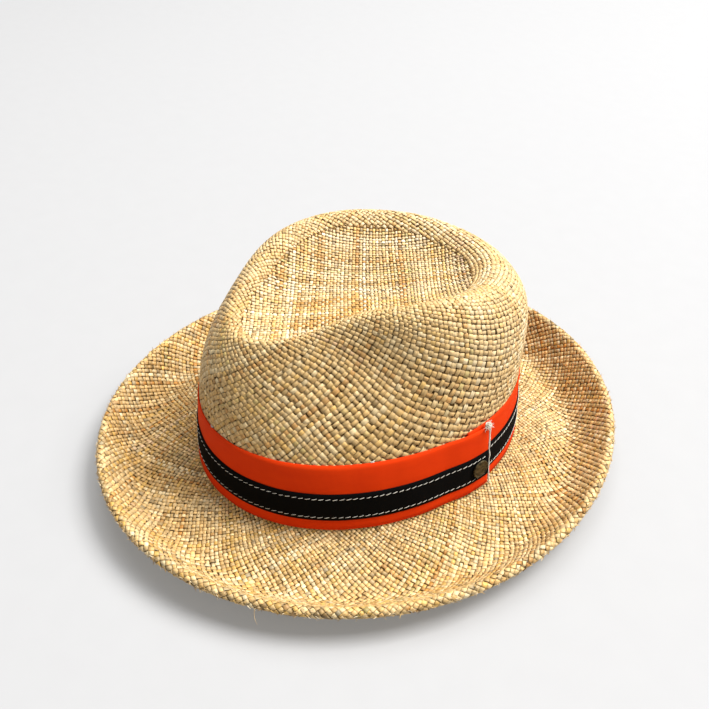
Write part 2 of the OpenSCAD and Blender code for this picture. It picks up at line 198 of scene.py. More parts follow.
class Bag:
    """Collects closed tubes and strips into one mesh."""

    def __init__(self):
        self.v, self.f, self.n = [], [], 0
        self.at = {}

    def sweep(self, loops, closed=False, **at):
        """loops: (sections, sides, 3). Ends are capped unless the run is closed."""
        s, m = loops.shape[:2]
        idx = np.arange(s * m).reshape(s, m) + self.n
        a = idx if closed else idx[:-1]
        b = np.roll(idx, -1, 0) if closed else idx[1:]
        q = np.stack([a, np.roll(a, -1, 1), np.roll(b, -1, 1), b], -1).reshape(-1, 4)
        self.f.extend(q.tolist())
        if not closed:
            self.f.append(idx[0][::-1].tolist())
            self.f.append(idx[-1].tolist())
        self.v.append(loops.reshape(-1, 3))
        for k, v in at.items():
            self.at.setdefault(k, []).append(np.asarray(v, float).reshape(s * m, -1))
        self.n += s * m

    def solid(self, v, f, **at):
        self.v.append(np.asarray(v, float))
        self.f.extend([[i + self.n for i in q] for q in f])
        for k, a in at.items():
            self.at.setdefault(k, []).append(np.asarray(a, float))
        self.n += len(v)

    def done(self, name, mat, **kw):
        return make(name, np.concatenate(self.v), self.f, mat, attrs={k: np.concatenate(v) for k, v in self.at.items()}, **kw)


def tube(path, normal, rad, sides=6, flat=1.0, phase=0.0):
    """Loops of a tube along path; normal is a reference direction for each point."""
    path = np.asarray(path, float)
    t = np.gradient(path, axis=0)
    t /= np.maximum(np.linalg.norm(t, axis=1, keepdims=True), 1e-9)
    n = np.asarray(normal, float) * np.ones_like(path)
    n = n - (n * t).sum(1, keepdims=True) * t
    n /= np.maximum(np.linalg.norm(n, axis=1, keepdims=True), 1e-9)
    b = np.cross(t, n)
    q = np.arange(sides) / sides * 2 * np.pi
    ph = np.asarray(phase, float) * np.ones(len(path))
    rad = np.asarray(rad, float) * np.ones(len(path))
    c, s = np.cos(q[None] + ph[:, None]), np.sin(q[None] + ph[:, None])
    return path[:, None] + rad[:, None, None] * (b[:, None] * c[..., None] + flat * n[:, None] * s[..., None])


# ------------------------------------------------------------------ materials
def new_mat(name):
    m = bpy.data.materials.new(name)
    m.use_nodes = True
    nt = m.node_tree
    return m, nt, nt.nodes["Principled BSDF"]


def node(nt, kind, **kw):
    n = nt.nodes.new(kind)
    for k, v in kw.items():
        if k in n.inputs and not hasattr(n, k):
            n.inputs[k].default_value = v
        else:
            setattr(n, k, v)
    return n


def mixc(nt, a, b, fac, mode="MIX"):
    m = nt.nodes.new("ShaderNodeMix")
    m.data_type = "RGBA"
    m.blend_type = mode
    for sock, val in ((m.inputs[0], fac), (m.inputs[6], a), (m.inputs[7], b)):
        if hasattr(val, "is_output"):
            nt.links.new(val, sock)
        else:
            sock.default_value = val
    return m.outputs[2]


def maprange(nt, x, a, b, c, d):
    m = nt.nodes.new("ShaderNodeMapRange")
    for k, v in zip((1, 2, 3, 4), (a, b, c, d)):
        m.inputs[k].default_value = v
    nt.links.new(x, m.inputs[0])
    return m.outputs[0]


def noise(nt, vec, scale, detail=2.0, rough=0.5):
    n = nt.nodes.new("ShaderNodeTexNoise")
    n.inputs["Scale"].default_value = scale
    n.inputs["Detail"].default_value = detail
    n.inputs["Roughness"].default_value = rough
    if vec is not None:
        nt.links.new(vec, n.inputs["Vector"])
    return n.outputs["Fac"]


def scaled(nt, vec, s):
    m = nt.nodes.new("ShaderNodeMapping")
    m.inputs["Scale"].default_value = s
    nt.links.new(vec, m.inputs["Vector"])
    return m.outputs["Vector"]


def attr(nt, name, out="Vector"):
    a = nt.nodes.new("ShaderNodeAttribute")
    a.attribute_name = name
    return a.outputs[out]


def objco(nt):
    return nt.nodes.new("ShaderNodeTexCoord").outputs["Object"]


def bump(nt, bsdf, h, strength, dist):
    b = nt.nodes.new("ShaderNodeBump")
    b.inputs["Strength"].default_value = strength
    b.inputs["Distance"].default_value = dist
    nt.links.new(h, b.inputs["Height"])
    nt.links.new(b.outputs["Normal"], bsdf.inputs["Normal"])


def straw_material():
    m, nt, p = new_mat("straw")
    fib = attr(nt, "fib")
    streak = noise(nt, scaled(nt, fib, (1.5, 0.14, 1.0)), 1.0, 3.0, 0.62)
    fine = noise(nt, scaled(nt, fib, (9.0, 0.5, 1.0)), 1.0, 2.0, 0.6)
    blot = noise(nt, objco(nt), 120.0, 3.0, 0.6)
    tint = attr(nt, "tint", "Color")
    k = maprange(nt, streak, 0.28, 0.72, 0.68, 1.20)
    c = mixc(nt, tint, (1, 1, 1, 1), 0.0)
    v = nt.nodes.new("ShaderNodeVectorMath"); v.operation = "SCALE"
    nt.links.new(c, v.inputs[0]); nt.links.new(k, v.inputs["Scale"])
    c2 = mixc(nt, v.outputs[0], (0.50, 0.30, 0.10, 1), maprange(nt, blot, 0.60, 0.80, 0.0, 0.35))
    nt.links.new(c2, p.inputs["Base Color"])
    nt.links.new(maprange(nt, fine, 0.3, 0.7, 0.40, 0.68), p.inputs["Roughness"])
    p.inputs["Specular IOR Level"].default_value = 0.5
    bump(nt, p, fine, 0.35, 0.00012)
    return m


def painted_hole_shade_material():
    m, nt, p = new_mat("straw_hole_shade_sheet")
    n = noise(nt, objco(nt), 300.0, 2.0)
    # painted shade: near-black browns, so the holes in the weave read as shade
    c = mixc(nt, (0.060, 0.030, 0.009, 1), (0.14, 0.075, 0.024, 1), n)
    nt.links.new(c, p.inputs["Base Color"])
    p.inputs["Roughness"].default_value = 0.9
    p.inputs["Specular IOR Level"].default_value = 0.1
    return m


def cloth_material(name, dark, light, rib=0.62, rough=0.75, sheen=0.2, spec=0.25, bstr=0.5):
    """Ribbed ribbon cloth: fine ribs across the ribbon, attribute 'rib' is (along, height, 0) in mm."""
    m, nt, p = new_mat(name)
    co = attr(nt, "rib")
    w = nt.nodes.new("ShaderNodeTexWave")
    w.wave_type = "BANDS"; w.bands_direction = "X"
    w.inputs["Scale"].default_value = 0.314 / rib * 1.0
    w.inputs["Distortion"].default_value = 0.25
    w.inputs["Detail"].default_value = 1.0
    nt.links.new(co, w.inputs["Vector"])
    slow = noise(nt, scaled(nt, co, (0.05, 0.12, 1)), 1.0, 3.0, 0.6)
    fuzz = noise(nt, scaled(nt, co, (4.0, 4.0, 1)), 1.0, 2.0, 0.6)
    f = nt.nodes.new("ShaderNodeMath"); f.operation = "MULTIPLY_ADD"
    nt.links.new(slow, f.inputs[0]); f.inputs[1].default_value = 0.55
    g = nt.nodes.new("ShaderNodeMath"); g.operation = "MULTIPLY"
    nt.links.new(w.outputs["Fac"], g.inputs[0]); g.inputs[1].default_value = 0.35
    nt.links.new(g.outputs[0], f.inputs[2])
    f2 = nt.nodes.new("ShaderNodeMath"); f2.operation = "MULTIPLY_ADD"
    nt.links.new(fuzz, f2.inputs[0]); f2.inputs[1].default_value = 0.15
    nt.links.new(f.outputs[0], f2.inputs[2])
    nt.links.new(mixc(nt, dark, light, f2.outputs[0]), p.inputs["Base Color"])
    nt.links.new(maprange(nt, fuzz, 0.3, 0.7, rough - 0.08, rough + 0.08), p.inputs["Roughness"])
    p.inputs["Specular IOR Level"].default_value = spec
    p.inputs["Sheen Weight"].default_value = sheen
    p.inputs["Sheen Roughness"].default_value = 0.4
    bump(nt, p, w.outputs["Fac"], bstr, 0.00008)
    return m


def thread_material(name="thread", dark=(0.50, 0.45, 0.36, 1), light=(0.86, 0.83, 0.74, 1)):
    m, nt, p = new_mat(name)
    co = objco(nt)
    n = noise(nt, co, 1800.0, 2.0)
    s = noise(nt, co, 160.0, 2.0)
    c = mixc(nt, dark, light, n)
    c = mixc(nt, c, light, maprange(nt, s, 0.35, 0.65, 0.1, 0.8))
    nt.links.new(c, p.inputs["Base Color"])
    p.inputs["Roughness"].default_value = 0.8
    p.inputs["Sheen Weight"].default_value = 0.25
    bump(nt, p, n, 0.4, 0.00008)
    return m


def metal_material(name, dark, light, rough, metallic=1.0, scale=700.0):
    m, nt, p = new_mat(name)
    co = objco(nt)
    n = noise(nt, co, scale, 4.0, 0.65)
    n2 = noise(nt, co, scale * 3.1, 2.0)
    nt.links.new(mixc(nt, dark, light, maprange(nt, n, 0.35, 0.68, 0, 1)), p.inputs["Base Color"])
    nt.links.new(maprange(nt, n2, 0.3, 0.7, rough - 0.1, rough + 0.12), p.inputs["Roughness"])
    p.inputs["Metallic"].default_value = metallic
    bump(nt, p, n, 0.3, 0.00010)
    return m


def leather_material():
    m, nt, p = new_mat("sweatband_leather")
    co = objco(nt)
    v = nt.nodes.new("ShaderNodeTexVoronoi")
    v.feature = "DISTANCE_TO_EDGE"
    v.inputs["Scale"].default_value = 900.0
    nt.links.new(co, v.inputs["Vector"])
    slow = noise(nt, co, 35.0, 4.0, 0.6)
    c = mixc(nt, (0.20, 0.105, 0.045, 1), (0.42, 0.25, 0.12, 1), slow)
    c = mixc(nt, c, (0.13, 0.065, 0.03, 1), maprange(nt, v.outputs["Distance"], 0.0, 0.06, 0.5, 0.0))
    nt.links.new(c, p.inputs["Base Color"])
    nt.links.new(maprange(nt, slow, 0.3, 0.7, 0.48, 0.66), p.inputs["Roughness"])
    p.inputs["Specular IOR Level"].default_value = 0.4
    bump(nt, p, maprange(nt, v.outputs["Distance"], 0.0, 0.12, 0.0, 1.0), 0.35, 0.00012)
    return m


STRAW_M = straw_material()
HOLE_SHADE_M = painted_hole_shade_material()
ORANGE_M = cloth_material("ribbon_orange", (0.60, 0.022, 0.0005, 1), (0.85, 0.056, 0.001, 1), sheen=0.0, spec=0.10)
BLACK_M = cloth_material("ribbon_black", (0.0012, 0.0012, 0.0014, 1), (0.0045, 0.0045, 0.005, 1), rib=0.5, rough=0.9, sheen=0.0, spec=0.05)
THREAD_M = thread_material()
STEEL_M = metal_material("wire_steel", (0.38, 0.38, 0.39, 1), (0.62, 0.62, 0.63, 1), 0.32)
BRONZE_M = metal_material("badge_bronze", (0.022, 0.018, 0.009, 1), (0.15, 0.12, 0.060, 1), 0.50, 0.85, 520.0)
LEATHER_M = leather_material()
LABEL_M = cloth_material("label_cloth", (0.62, 0.60, 0.54, 1), (0.84, 0.82, 0.76, 1), rib=0.45, rough=0.8)
REED_M = thread_material("reed", (0.25, 0.15, 0.07, 1), (0.46, 0.30, 0.15, 1))

# ------------------------------------------------------------------ straw colours
PALETTE = np.array([[0.76, 0.50, 0.200], [0.84, 0.60, 0.285], [0.66, 0.405, 0.140], [0.75, 0.455, 0.120], [0.93, 0.74, 0.42],
                    [0.58, 0.27, 0.055], [0.59, 0.45, 0.150], [0.79, 0.49, 0.26]])
WEIGHT = np.array([0.30, 0.23, 0.17, 0.11, 0.11, 0.035, 0.015, 0.015])
WEIGHT = WEIGHT / WEIGHT.sum()


def strand_colours(n):
    """Colour of each section of one strand: one straw colour, lengths of other shades, small steps."""
    base = PALETTE[rng.choice(len(PALETTE), p=WEIGHT)] * rng.uniform(0.90, 1.08)
    out = np.tile(base, (n, 1))
    k = 0
    while k < n:
        m = int(rng.integers(9, 60))
        if rng.random() < 0.5:
            c = PALETTE[rng.choice(len(PALETTE), p=WEIGHT)] * rng.uniform(0.88, 1.10)
            out[k:k + m] = 0.35 * base + 0.65 * c
        k += m
    steps = np.repeat(rng.uniform(0.78, 1.12, n // 6 + 2), 6)[rng.integers(0, 5):][:n]
    if len(steps) < n:
        steps = np.concatenate([steps, np.ones(n - len(steps))])
    return out * steps[:, None]


def weave(name, strands, grids, parts, pitch_of, lower=None, half_t=0.38, amp=0.40, fill=0.92, tone=None, step=0.19, dark=0.045, calm=1.0):
    """strands: list of (ph, v, side, idx) with side +1/-1/0 at each section. Makes closed strips on the face in grids."""
    ph = np.concatenate([s[0] for s in strands])
    v = np.concatenate([s[1] for s in strands])
    X, N = look(grids, ph, v)
    low = lower(ph, v) if lower else np.zeros(len(ph))
    cuts = np.cumsum([0] + [len(s[0]) for s in strands])
    bags = [Bag() for _ in range(parts)]
    sizes = [0] * parts
    for k, s in enumerate(strands):
        a, b = cuts[k], cuts[k + 1]
        if b - a < 3:
            continue
        x, n, side = X[a:b], N[a:b], s[2]
        t = np.gradient(x, axis=0)
        t /= np.maximum(np.linalg.norm(t, axis=1, keepdims=True), 1e-9)
        e = np.cross(n, t)
        e /= np.maximum(np.linalg.norm(e, axis=1, keepdims=True), 1e-9)
        m = b - a
        pit = pitch_of(ph[a:b], v[a:b], x)
        w = 0.5 * pit * fill * rng.uniform(0.82, 1.10)
        w = w * (1 + 0.09 * np.sin(np.arange(m) * 0.17 + rng.uniform(0, 6.3))) * rng.uniform(0.88, 1.08, m)
        w = np.where(side == 0, w * 0.88, w) * (0.86 if 5000 <= s[3] < 5300 else 1.0)
        per = np.repeat(rng.normal(0, 0.05, m // 3 + 2), 3)[:m]
        off = -0.72 + amp * side * rng.uniform(0.75, 1.15, m) + low[a:b] + per
        th = half_t * np.where(side == 0, 0.80, 1.0) * rng.uniform(0.90, 1.08)
        wander = 0.07 * pit * np.sin(np.arange(m) * rng.uniform(0.05, 0.14) + rng.uniform(0, 6.3))
        x = x + e * ((wander + pit * rng.normal(0, 0.035, m))[:, None])
        tilt = rng.normal(0, 0.10)
        c = x + n * off[:, None]
        E, Nn = e * w[:, None], n * th[:, None]
        loops = np.stack([c - E * 1.0 + Nn * (-0.15 - tilt), c - E * 0.86 + Nn * (0.86 - tilt * 0.5), c + E * 0.86 + Nn * (0.92 + tilt * 0.5),
                          c + E * 1.0 + Nn * (-0.15 + tilt), c - Nn * 0.95], 1)
        col = strand_colours(m)
        tint = np.ones((m, 5, 4))
        col = calm * col + (1 - calm) * (PALETTE * WEIGHT[:, None]).sum(0)
        if tone:
            col = col * tone(s[3], ph[a:b], v[a:b])
        tint[..., :3] = col[:, None]
        # painted shading: each crossing gets its own random brightness around 0.95, standing for the pads catching the
        # light differently
        tint[..., :3] *= np.repeat(rng.uniform(0.95 - step, 0.95 + step, m // 3 + 2), 3)[:m, None, None]
        tint[:, 1, :3] *= rng.uniform(0.82, 1.06, (m, 1))
        tint[..., :3] *= np.where(np.repeat(rng.random(m // 3 + 2) < dark, 3)[:m], 0.52, 1.0)[:, None, None]
        # painted shade: the strand's side edges (x0.26), its underside (x0.90) and the sections where it passes under
        # the crossing strand (x0.78) are darkened to stand for the shade in the gaps and under the crossings
        tint[:, 0, :3] *= 0.26
        tint[:, 3, :3] *= 0.26
        tint[:, 4, :3] *= 0.90
        tint[side == 0, :, :3] *= 0.78
        along = np.concatenate([[0], np.cumsum(np.linalg.norm(np.diff(x, axis=0), axis=1))])
        fib = np.zeros((m, 5, 3))
        fib[..., 0] = w[:, None] * np.array([-1.0, -0.86, 0.86, 1.0, 2.2])
        fib[..., 1] = along[:, None]
        fib[..., 2] = (s[3] * 0.917) % 97 + k * 1.37
        p = int(np.argmin(sizes)) if s[4] is None else s[4]
        bags[p].sweep(loops, tint=tint, fib=fib)
        sizes[p] += m * 10
    obs = []
    for p, bag in enumerate(bags):
        if bag.n:
            obs.append(bag.done(f"{name}_{p + 1}", STRAW_M, slot="straw"))
    print(name, "triangles", sizes)
    return obs


def sections(j0, j1):
    """Section places along a strand between crossings j0 and j1, and what crossing each belongs to."""
    j = np.arange(j0, j1)
    v = np.stack([j - 0.37, j + 0.37, j + 0.5], 1).ravel()
    k = np.stack([j, j, j], 1).ravel()
    f = np.tile([1, 1, 0], len(j))
    return v, k, f


# ------------------------------------------------------------------ brim weave, with the rolled hem
ring = {}


def brim_grid():
    """Outer face from just up the wall, over the brim, round the rolled edge and along the hem below."""
    rows = []
    for i in range(NP + 1):
        rz, nn = RZ[i], RZN[i]
        d = np.hypot(*(rz - rz[0]).T)
        half = int(0.3 * NT)

        def t_in(s):
            return int(np.argmax(d[:half] > s))
        i0, i1, i2 = t_in(TIP), t_in(6.4), t_in(11.0)
        cen = rz[i0] - TIP * nn[i0]
        nv = nn[i0]
        tv = np.array([-nv[1], nv[0]])
        q = np.radians(np.arange(0, 181, 12))
        roll = cen + TIP * (np.cos(q)[:, None] * nv - np.sin(q)[:, None] * tv)
        deep = 2 * STRAW + 0.3
        top = int(0.415 * NT)
        outer = rz[top:i0:-1]
        hem = np.stack([rz[k] - deep * nn[k] for k in np.linspace(i1, i2, 14).astype(int)])
        line = np.concatenate([outer, roll, hem])
        s = np.concatenate([[0], np.cumsum(np.hypot(*np.diff(line, axis=0).T))])
        u = np.linspace(0, s[-1], 420)
        rows.append((np.stack([np.interp(u, s, line[:, 0]), np.interp(u, s, line[:, 1])], -1), s[-1]))
    return np.stack([r[0] for r in rows]), np.array([r[1] for r in rows])


BR_RZ, BR_LEN = brim_grid()
BR_X, BR_N = field(BR_RZ)
BR_N = -BR_N                                              # this grid runs outward


def arc_map(rz):
    """Ring fraction (0..1) to angle, for the ring given as (r, z) by angle."""
    x = to_xyz(PH, rz[:, 0], rz[:, 1])
    s = np.concatenate([[0], np.cumsum(np.linalg.norm(np.diff(x, axis=0), axis=1))])
    return s / s[-1], s[-1]


_fr, _ = arc_map(BR_RZ[:, 210])
M_BRIM = 232
_r_mean = BR_RZ[:-1, :, 0].mean(0)
_dw = BR_LEN[:-1].mean() / 419
LAM = np.concatenate([[0], np.cumsum(_dw / ((_r_mean[1:] + _r_mean[:-1]) / 2))])


def brim_place(theta, lam):
    wob = 0.010 * np.sin(5 * theta + 1.0) * np.sin(lam * 9) + 0.006 * np.sin(11 * theta + 2.2 + lam * 14)
    wl = 0.011 * np.sin(4 * theta + 0.6 + lam * 6) + 0.007 * np.sin(9 * theta + 4.0)
    th = theta + wob
    edge = np.clip(lam / LAM[-1], 0, 1)
    lm = np.clip(lam + wl * np.sin(np.pi * edge) ** 0.5, 0, LAM[-1])
    ph = np.interp((th / (2 * np.pi)) % 1.0, _fr, PH)
    return ph, np.interp(lm, LAM, np.linspace(0, 1, 420))


def brim_strands():
    out = []
    step = 2 * np.pi / M_BRIM
    span = int(2 * LAM[-1] / step) - 1
    for fam in (0, 1):
        for i in range(M_BRIM):
            if fam == 0:
                v, k, f = sections(i - span, i + 1)
                lam = (i - v) / 2 * step
                side = np.where((i + k) % 2 == 0, 1, -1) * f
            else:
                v, k, f = sections(i, i + span + 1)
                lam = (v - i) / 2 * step
                side = np.where((i + k) % 2 == 1, 1, -1) * f
            theta = (i + v) / 2 * step
            ok = (lam > 0.001) & (lam < LAM[-1] - 0.002)
            jit = rng.normal(0, 0.0012)
            ph, w = brim_place(theta[ok] + jit, lam[ok])
            out.append((ph, w, side[ok], i + fam * 500, fam * 3 + (i * 3) // M_BRIM))
    return out


BR_PITCH = np.tile(_r_mean * (2 * np.pi / M_BRIM) / math.sqrt(2), (1, 1))[0]


def brim_pitch(ph, v, x):
    return np.interp(v, np.linspace(0, 1, 420), BR_PITCH)


straw_parts = []
straw_parts += weave("straw_brim", brim_strands(), (BR_X, BR_N), 6, brim_pitch)

# ------------------------------------------------------------------ crown wall weave
T_SEAM = 0.788
WALL_N = 320


def wall_grid():
    """Outer face from behind the ribbon to just inside the crest, by ring fraction and height step."""
    lo = np.array([np.interp(base_z(PH[i]) + 29.5, RZ[i, _ta:_tb, 1], TT[_ta:_tb]) for i in range(NP + 1)])
    u = np.linspace(0, 1, WALL_N)
    rz = np.empty((NP + 1, WALL_N, 2))
    for i in range(NP + 1):
        t = lo[i] + (T_SEAM - lo[i]) * u
        a = np.interp(t, TT, RZ[i, :, 0])
        b = np.interp(t, TT, RZ[i, :, 1])
        s = np.concatenate([[0], np.cumsum(np.hypot(np.diff(a), np.diff(b)))])
        q = np.linspace(0, s[-1], WALL_N)
        rz[i] = np.stack([np.interp(q, s, a), np.interp(q, s, b)], -1)
    return rz


WA_RZ = wall_grid()
# re-space every ring evenly by arc length, so that the grid's first axis is the ring fraction
WA_X0, WA_N0 = field(WA_RZ)
WA_X, WA_N = np.empty_like(WA_X0), np.empty_like(WA_N0)
ring_len = np.empty(WALL_N)
for _k in range(WALL_N):
    _s = np.concatenate([[0], np.cumsum(np.linalg.norm(np.diff(WA_X0[:, _k], axis=0), axis=1))])
    ring_len[_k] = _s[-1]
    _q = np.linspace(0, _s[-1], NP + 1)
    _sh = _s + 0
    for _c2 in range(3):
        WA_X[:, _k, _c2] = np.interp(_q, _sh, WA_X0[:, _k, _c2])
        WA_N[:, _k, _c2] = np.interp(_q, _sh, WA_N0[:, _k, _c2])
L0 = 180.0
_h = np.linalg.norm(np.diff(WA_X, axis=1), axis=-1).mean(0)
_p = ring_len / L0
ETA = np.concatenate([[0], np.cumsum(_h / ((_p[1:] + _p[:-1]) / 2))])
ETA_MID = ETA[-1] * 0.5
SG = np.linspace(-1.0, 2.0, 6001)                       # turns


TURN = [40, 43, 44, 44, 43, 38, 29, 19, 11, 6, 4, 4, 8, 16, 26, 36, 42, 44, 44, 42, 40, 38, 37, 38]


def psi(fr):
    """Turn of the weave against the ring, by ring fraction."""
    return np.radians(loop_spline(TURN, fr * 2 * np.pi))


_ps = psi(SG)
_one = (SG >= 0) & (SG < 1)


def wind(fn):
    a = np.concatenate([[0], np.cumsum((fn[1:] + fn[:-1]) / 2 * np.diff(SG) * L0)])
    a -= np.interp(0, SG, a)
    return a


AU, BV = wind(np.cos(_ps)), wind(np.sin(_ps))
MU, MV = round(np.interp(1, SG, AU)), round(np.interp(1, SG, BV))
if (MU + MV) % 2:
    MU += 1
AU *= MU / np.interp(1, SG, AU)
BV *= MV / np.interp(1, SG, BV)


def wall_place(sig, eta):
    w1 = 0.5 * np.sin(2 * np.pi * 4 * sig + 1.3) * np.sin(eta * 0.22) + 0.25 * np.sin(2 * np.pi * 9 * sig + eta * 0.35)
    w2 = 0.45 * np.sin(2 * np.pi * 3 * sig + 0.4 + eta * 0.12) + 0.25 * np.sin(2 * np.pi * 8 * sig + 2.0)
    e = np.clip(eta / ETA[-1], 0, 1)
    s = sig + w1 / L0
    h = np.clip(eta + w2 * np.sin(np.pi * e) ** 0.5, 0, ETA[-1])
    return (s % 1.0) * 2 * np.pi, np.interp(h, ETA, np.linspace(0, 1, WALL_N))


def wall_strands():
    out = []
    # family V: one level of V each, met by U levels; family U: gathered from the V levels they cross
    cosp, sinp = np.cos(_ps), np.sin(_ps)

    def curve(v):
        eta = (v - BV) / cosp
        ok = np.abs(eta) <= ETA_MID + 0.8
        return eta, AU - sinp * eta, ok

    def runs(ok):
        idx = np.where(ok)[0]
        if not len(idx):
            return []
        cut = np.where(np.diff(idx) > 1)[0]
        return np.split(idx, cut + 1)
    vs = []
    vlo, vhi = int(-ETA_MID - 2), int(MV + ETA_MID + 2)
    # V strands: only those whose middle lies in the first turn
    for j in range(-400, 600):
        eta, u, ok = curve(j)
        for r in runs(ok):
            if len(r) < 30:
                continue
            mid = SG[r[len(r) // 2]]
            if not (0 <= mid < 1):
                continue
            ue, se, ee = u[r], SG[r], eta[r]
            if np.any(np.diff(ue) <= 0):
                keep = np.concatenate([[True], np.diff(np.maximum.accumulate(ue)) > 0])
                ue, se, ee = ue[keep], se[keep], ee[keep]
            lv, k, f = sections(int(math.ceil(ue[0])), int(math.floor(ue[-1])) + 1)
            q = (lv >= ue[0]) & (lv <= ue[-1])
            lv, k, f = lv[q], k[q], f[q]
            if len(lv) < 6:
                continue
            sig, et = np.interp(lv, ue, se), np.interp(lv, ue, ee) + ETA_MID
            g = (et > 0.02) & (et < ETA[-1] - 0.02)
            side = np.where((j + k) % 2 == 0, 1, -1) * f
            vs.append((j, sig[g], et[g], side[g]))
    for n, (j, sig, et, side) in enumerate(vs):
        ph, w = wall_place(sig + rng.normal(0, 0.08) / L0, et + rng.normal(0, 0.05))
        out.append((ph, w, side, j + 1000, 0))
    # U strands
    tab = {}
    lv, kk, ff = sections(-120, 260)
    for v, k, f in zip(lv, kk, ff):
        eta, u, ok = curve(v)
        for r in runs(ok):
            if len(r) < 3:
                continue
            ue, se, ee = u[r], SG[r], eta[r]
            i0, i1 = int(math.ceil(ue[0])), int(math.floor(ue[-1]))
            ii = np.arange(i0, i1 + 1)
            if not len(ii):
                continue
            ss, e2 = np.interp(ii, ue, se), np.interp(ii, ue, ee) + ETA_MID
            for i, s_, e_ in zip(ii, ss, e2):
                tab.setdefault(int(i), []).append((v, s_, e_, (1 if (i + k) % 2 == 1 else -1) * f))
    for i in sorted(tab):
        rows = sorted(tab[i])
        arr = np.array(rows)
        # a strand may appear once in each turn: split where it jumps
        order = np.argsort(arr[:, 0])
        arr = arr[order]
        jump = np.where(np.abs(np.diff(arr[:, 1])) > 0.06)[0]
        for part in np.split(arr, jump + 1):
            g = (part[:, 2] > 0.02) & (part[:, 2] < ETA[-1] - 0.02)
            part = part[g]
            if len(part) < 6:
                continue
            mid = part[len(part) // 2, 1]
            if not (0 <= mid < 1):
                continue
            ph, w = wall_place(part[:, 1] + rng.normal(0, 0.08) / L0, part[:, 2])
            out.append((ph, w, part[:, 3].astype(int), i + 3000, 1))
    return out


_wall_pitch = ring_len / L0


def wall_pitch(ph, v, x):
    return np.interp(v, np.linspace(0, 1, WALL_N), _wall_pitch)


def wall_painted_light(idx, ph, v):
    """Painted light and shade: the wearer's left and the back of the crown, the lit side, are painted a little paler
    and bluer than the front, and the front a little darker.
    """
    d = np.degrees(ph) % 360
    g = np.clip((d - 68) / 45, 0, 1) * np.clip((350 - d) / 50, 0, 1)
    g = (g * g * (3 - 2 * g))[:, None]
    return (1 - g) * np.array([[0.94, 0.93, 0.91]]) + g * np.array([[1.07, 1.11, 1.24]])


straw_parts += weave("straw_wall", wall_strands(), (WA_X, WA_N), 2, wall_pitch,
                     lower=lambda ph, v: -0.35 * np.clip((v - 0.982) / 0.018, 0, 1), half_t=0.40, amp=0.40, fill=0.94, step=0.09, dark=0.006, calm=0.68, tone=wall_painted_light)

# ------------------------------------------------------------------ crown top weave
TIP_P = 2.0
T_TIP = 0.770
_k0 = int(T_TIP * NT)
TIP_R = RZ[:, _k0:, 0][:, ::-1]                          # increasing radius
TIP_T = TT[_k0:][::-1]


def tip_place(x, y):
    """Plan point to (angle, t); nan outside."""
    x = x + 0.55 * np.sin(y / 17.0 + 1.0) + 0.35 * np.sin(y / 7.3 + x / 23.0)
    y = y + 0.55 * np.sin(x / 19.0 + 0.3) + 0.30 * np.sin(x / 8.1 + y / 20.0)
    r = np.hypot(x, y)
    ph = np.arctan2(x, -y) % (2 * np.pi)
    a = ph / (2 * np.pi) * NP
    i = np.minimum(a.astype(int), NP - 1)
    t = np.full(len(r), np.nan)
    for q in range(len(r)):
        row = TIP_R[i[q]] * (1 - (a[q] - i[q])) + TIP_R[i[q] + 1] * (a[q] - i[q])
        if r[q] < row[-1]:
            t[q] = np.interp(r[q], row, TIP_T)
    return ph, t


def tip_strands():
    out = []
    az = math.radians(58)
    ux, uy = np.array([math.sin(az), -math.cos(az)]), np.array([math.cos(az), math.sin(az)])
    n = 54
    for fam in (0, 1):
        for i in range(-n, n + 1):
            lv, k, f = sections(-n, n + 1)
            jit = rng.normal(0, 0.06)
            if fam == 0:
                p = np.outer(lv * TIP_P, ux) + (i + jit) * TIP_P * uy
                side = np.where((i + k) % 2 == 0, 1, -1) * f
            else:
                p = np.outer(lv * TIP_P, uy) + (i + jit) * TIP_P * ux
                side = np.where((i + k) % 2 == 1, 1, -1) * f
            ph, t = tip_place(p[:, 0], p[:, 1])
            ok = ~np.isnan(t)
            idx = np.where(ok)[0]
            if len(idx) < 8:
                continue
            for r in np.split(idx, np.where(np.diff(idx) > 1)[0] + 1):
                if len(r) >= 8:
                    out.append((ph[r], t[r], side[r], i + 5000 + fam * 300, fam))
    return out


def tip_pattern_and_painted_light(idx, ph, t):
    """Columns pale and narrow, rows golden in patches, as the bowl of the crown shows; besides this pattern, all but
    the golden strands are painted paler and bluer, as painted light on the brightly lit top.
    """
    if idx < 5300:
        gold = 1.0 if idx % 11 in (3, 4) else 0.0
        return np.tile([[1.12 - 0.12 * gold, 1.20 - 0.26 * gold, 1.48 - 0.65 * gold]], (len(ph), 1))
    patch = np.sin(2.1 * ph + 14 * t) + np.sin(3.7 * ph - 23 * t + (idx // 3) * 0.7)
    gold = np.clip((patch - 0.1) / 0.4, 0, 1)[:, None]
    return (1 - gold) * np.array([[1.12, 1.17, 1.36]]) + gold * np.array([[0.98, 0.78, 0.48]])


straw_parts += weave("straw_top", tip_strands(), (FACE_X, FACE_N), 2, lambda ph, v, x: TIP_P + 0 * v, tone=tip_pattern_and_painted_light,
                     lower=lambda ph, t: -0.60 * np.clip((0.799 - t) / 0.014, 0, 1), half_t=0.33, amp=0.35, fill=0.91)
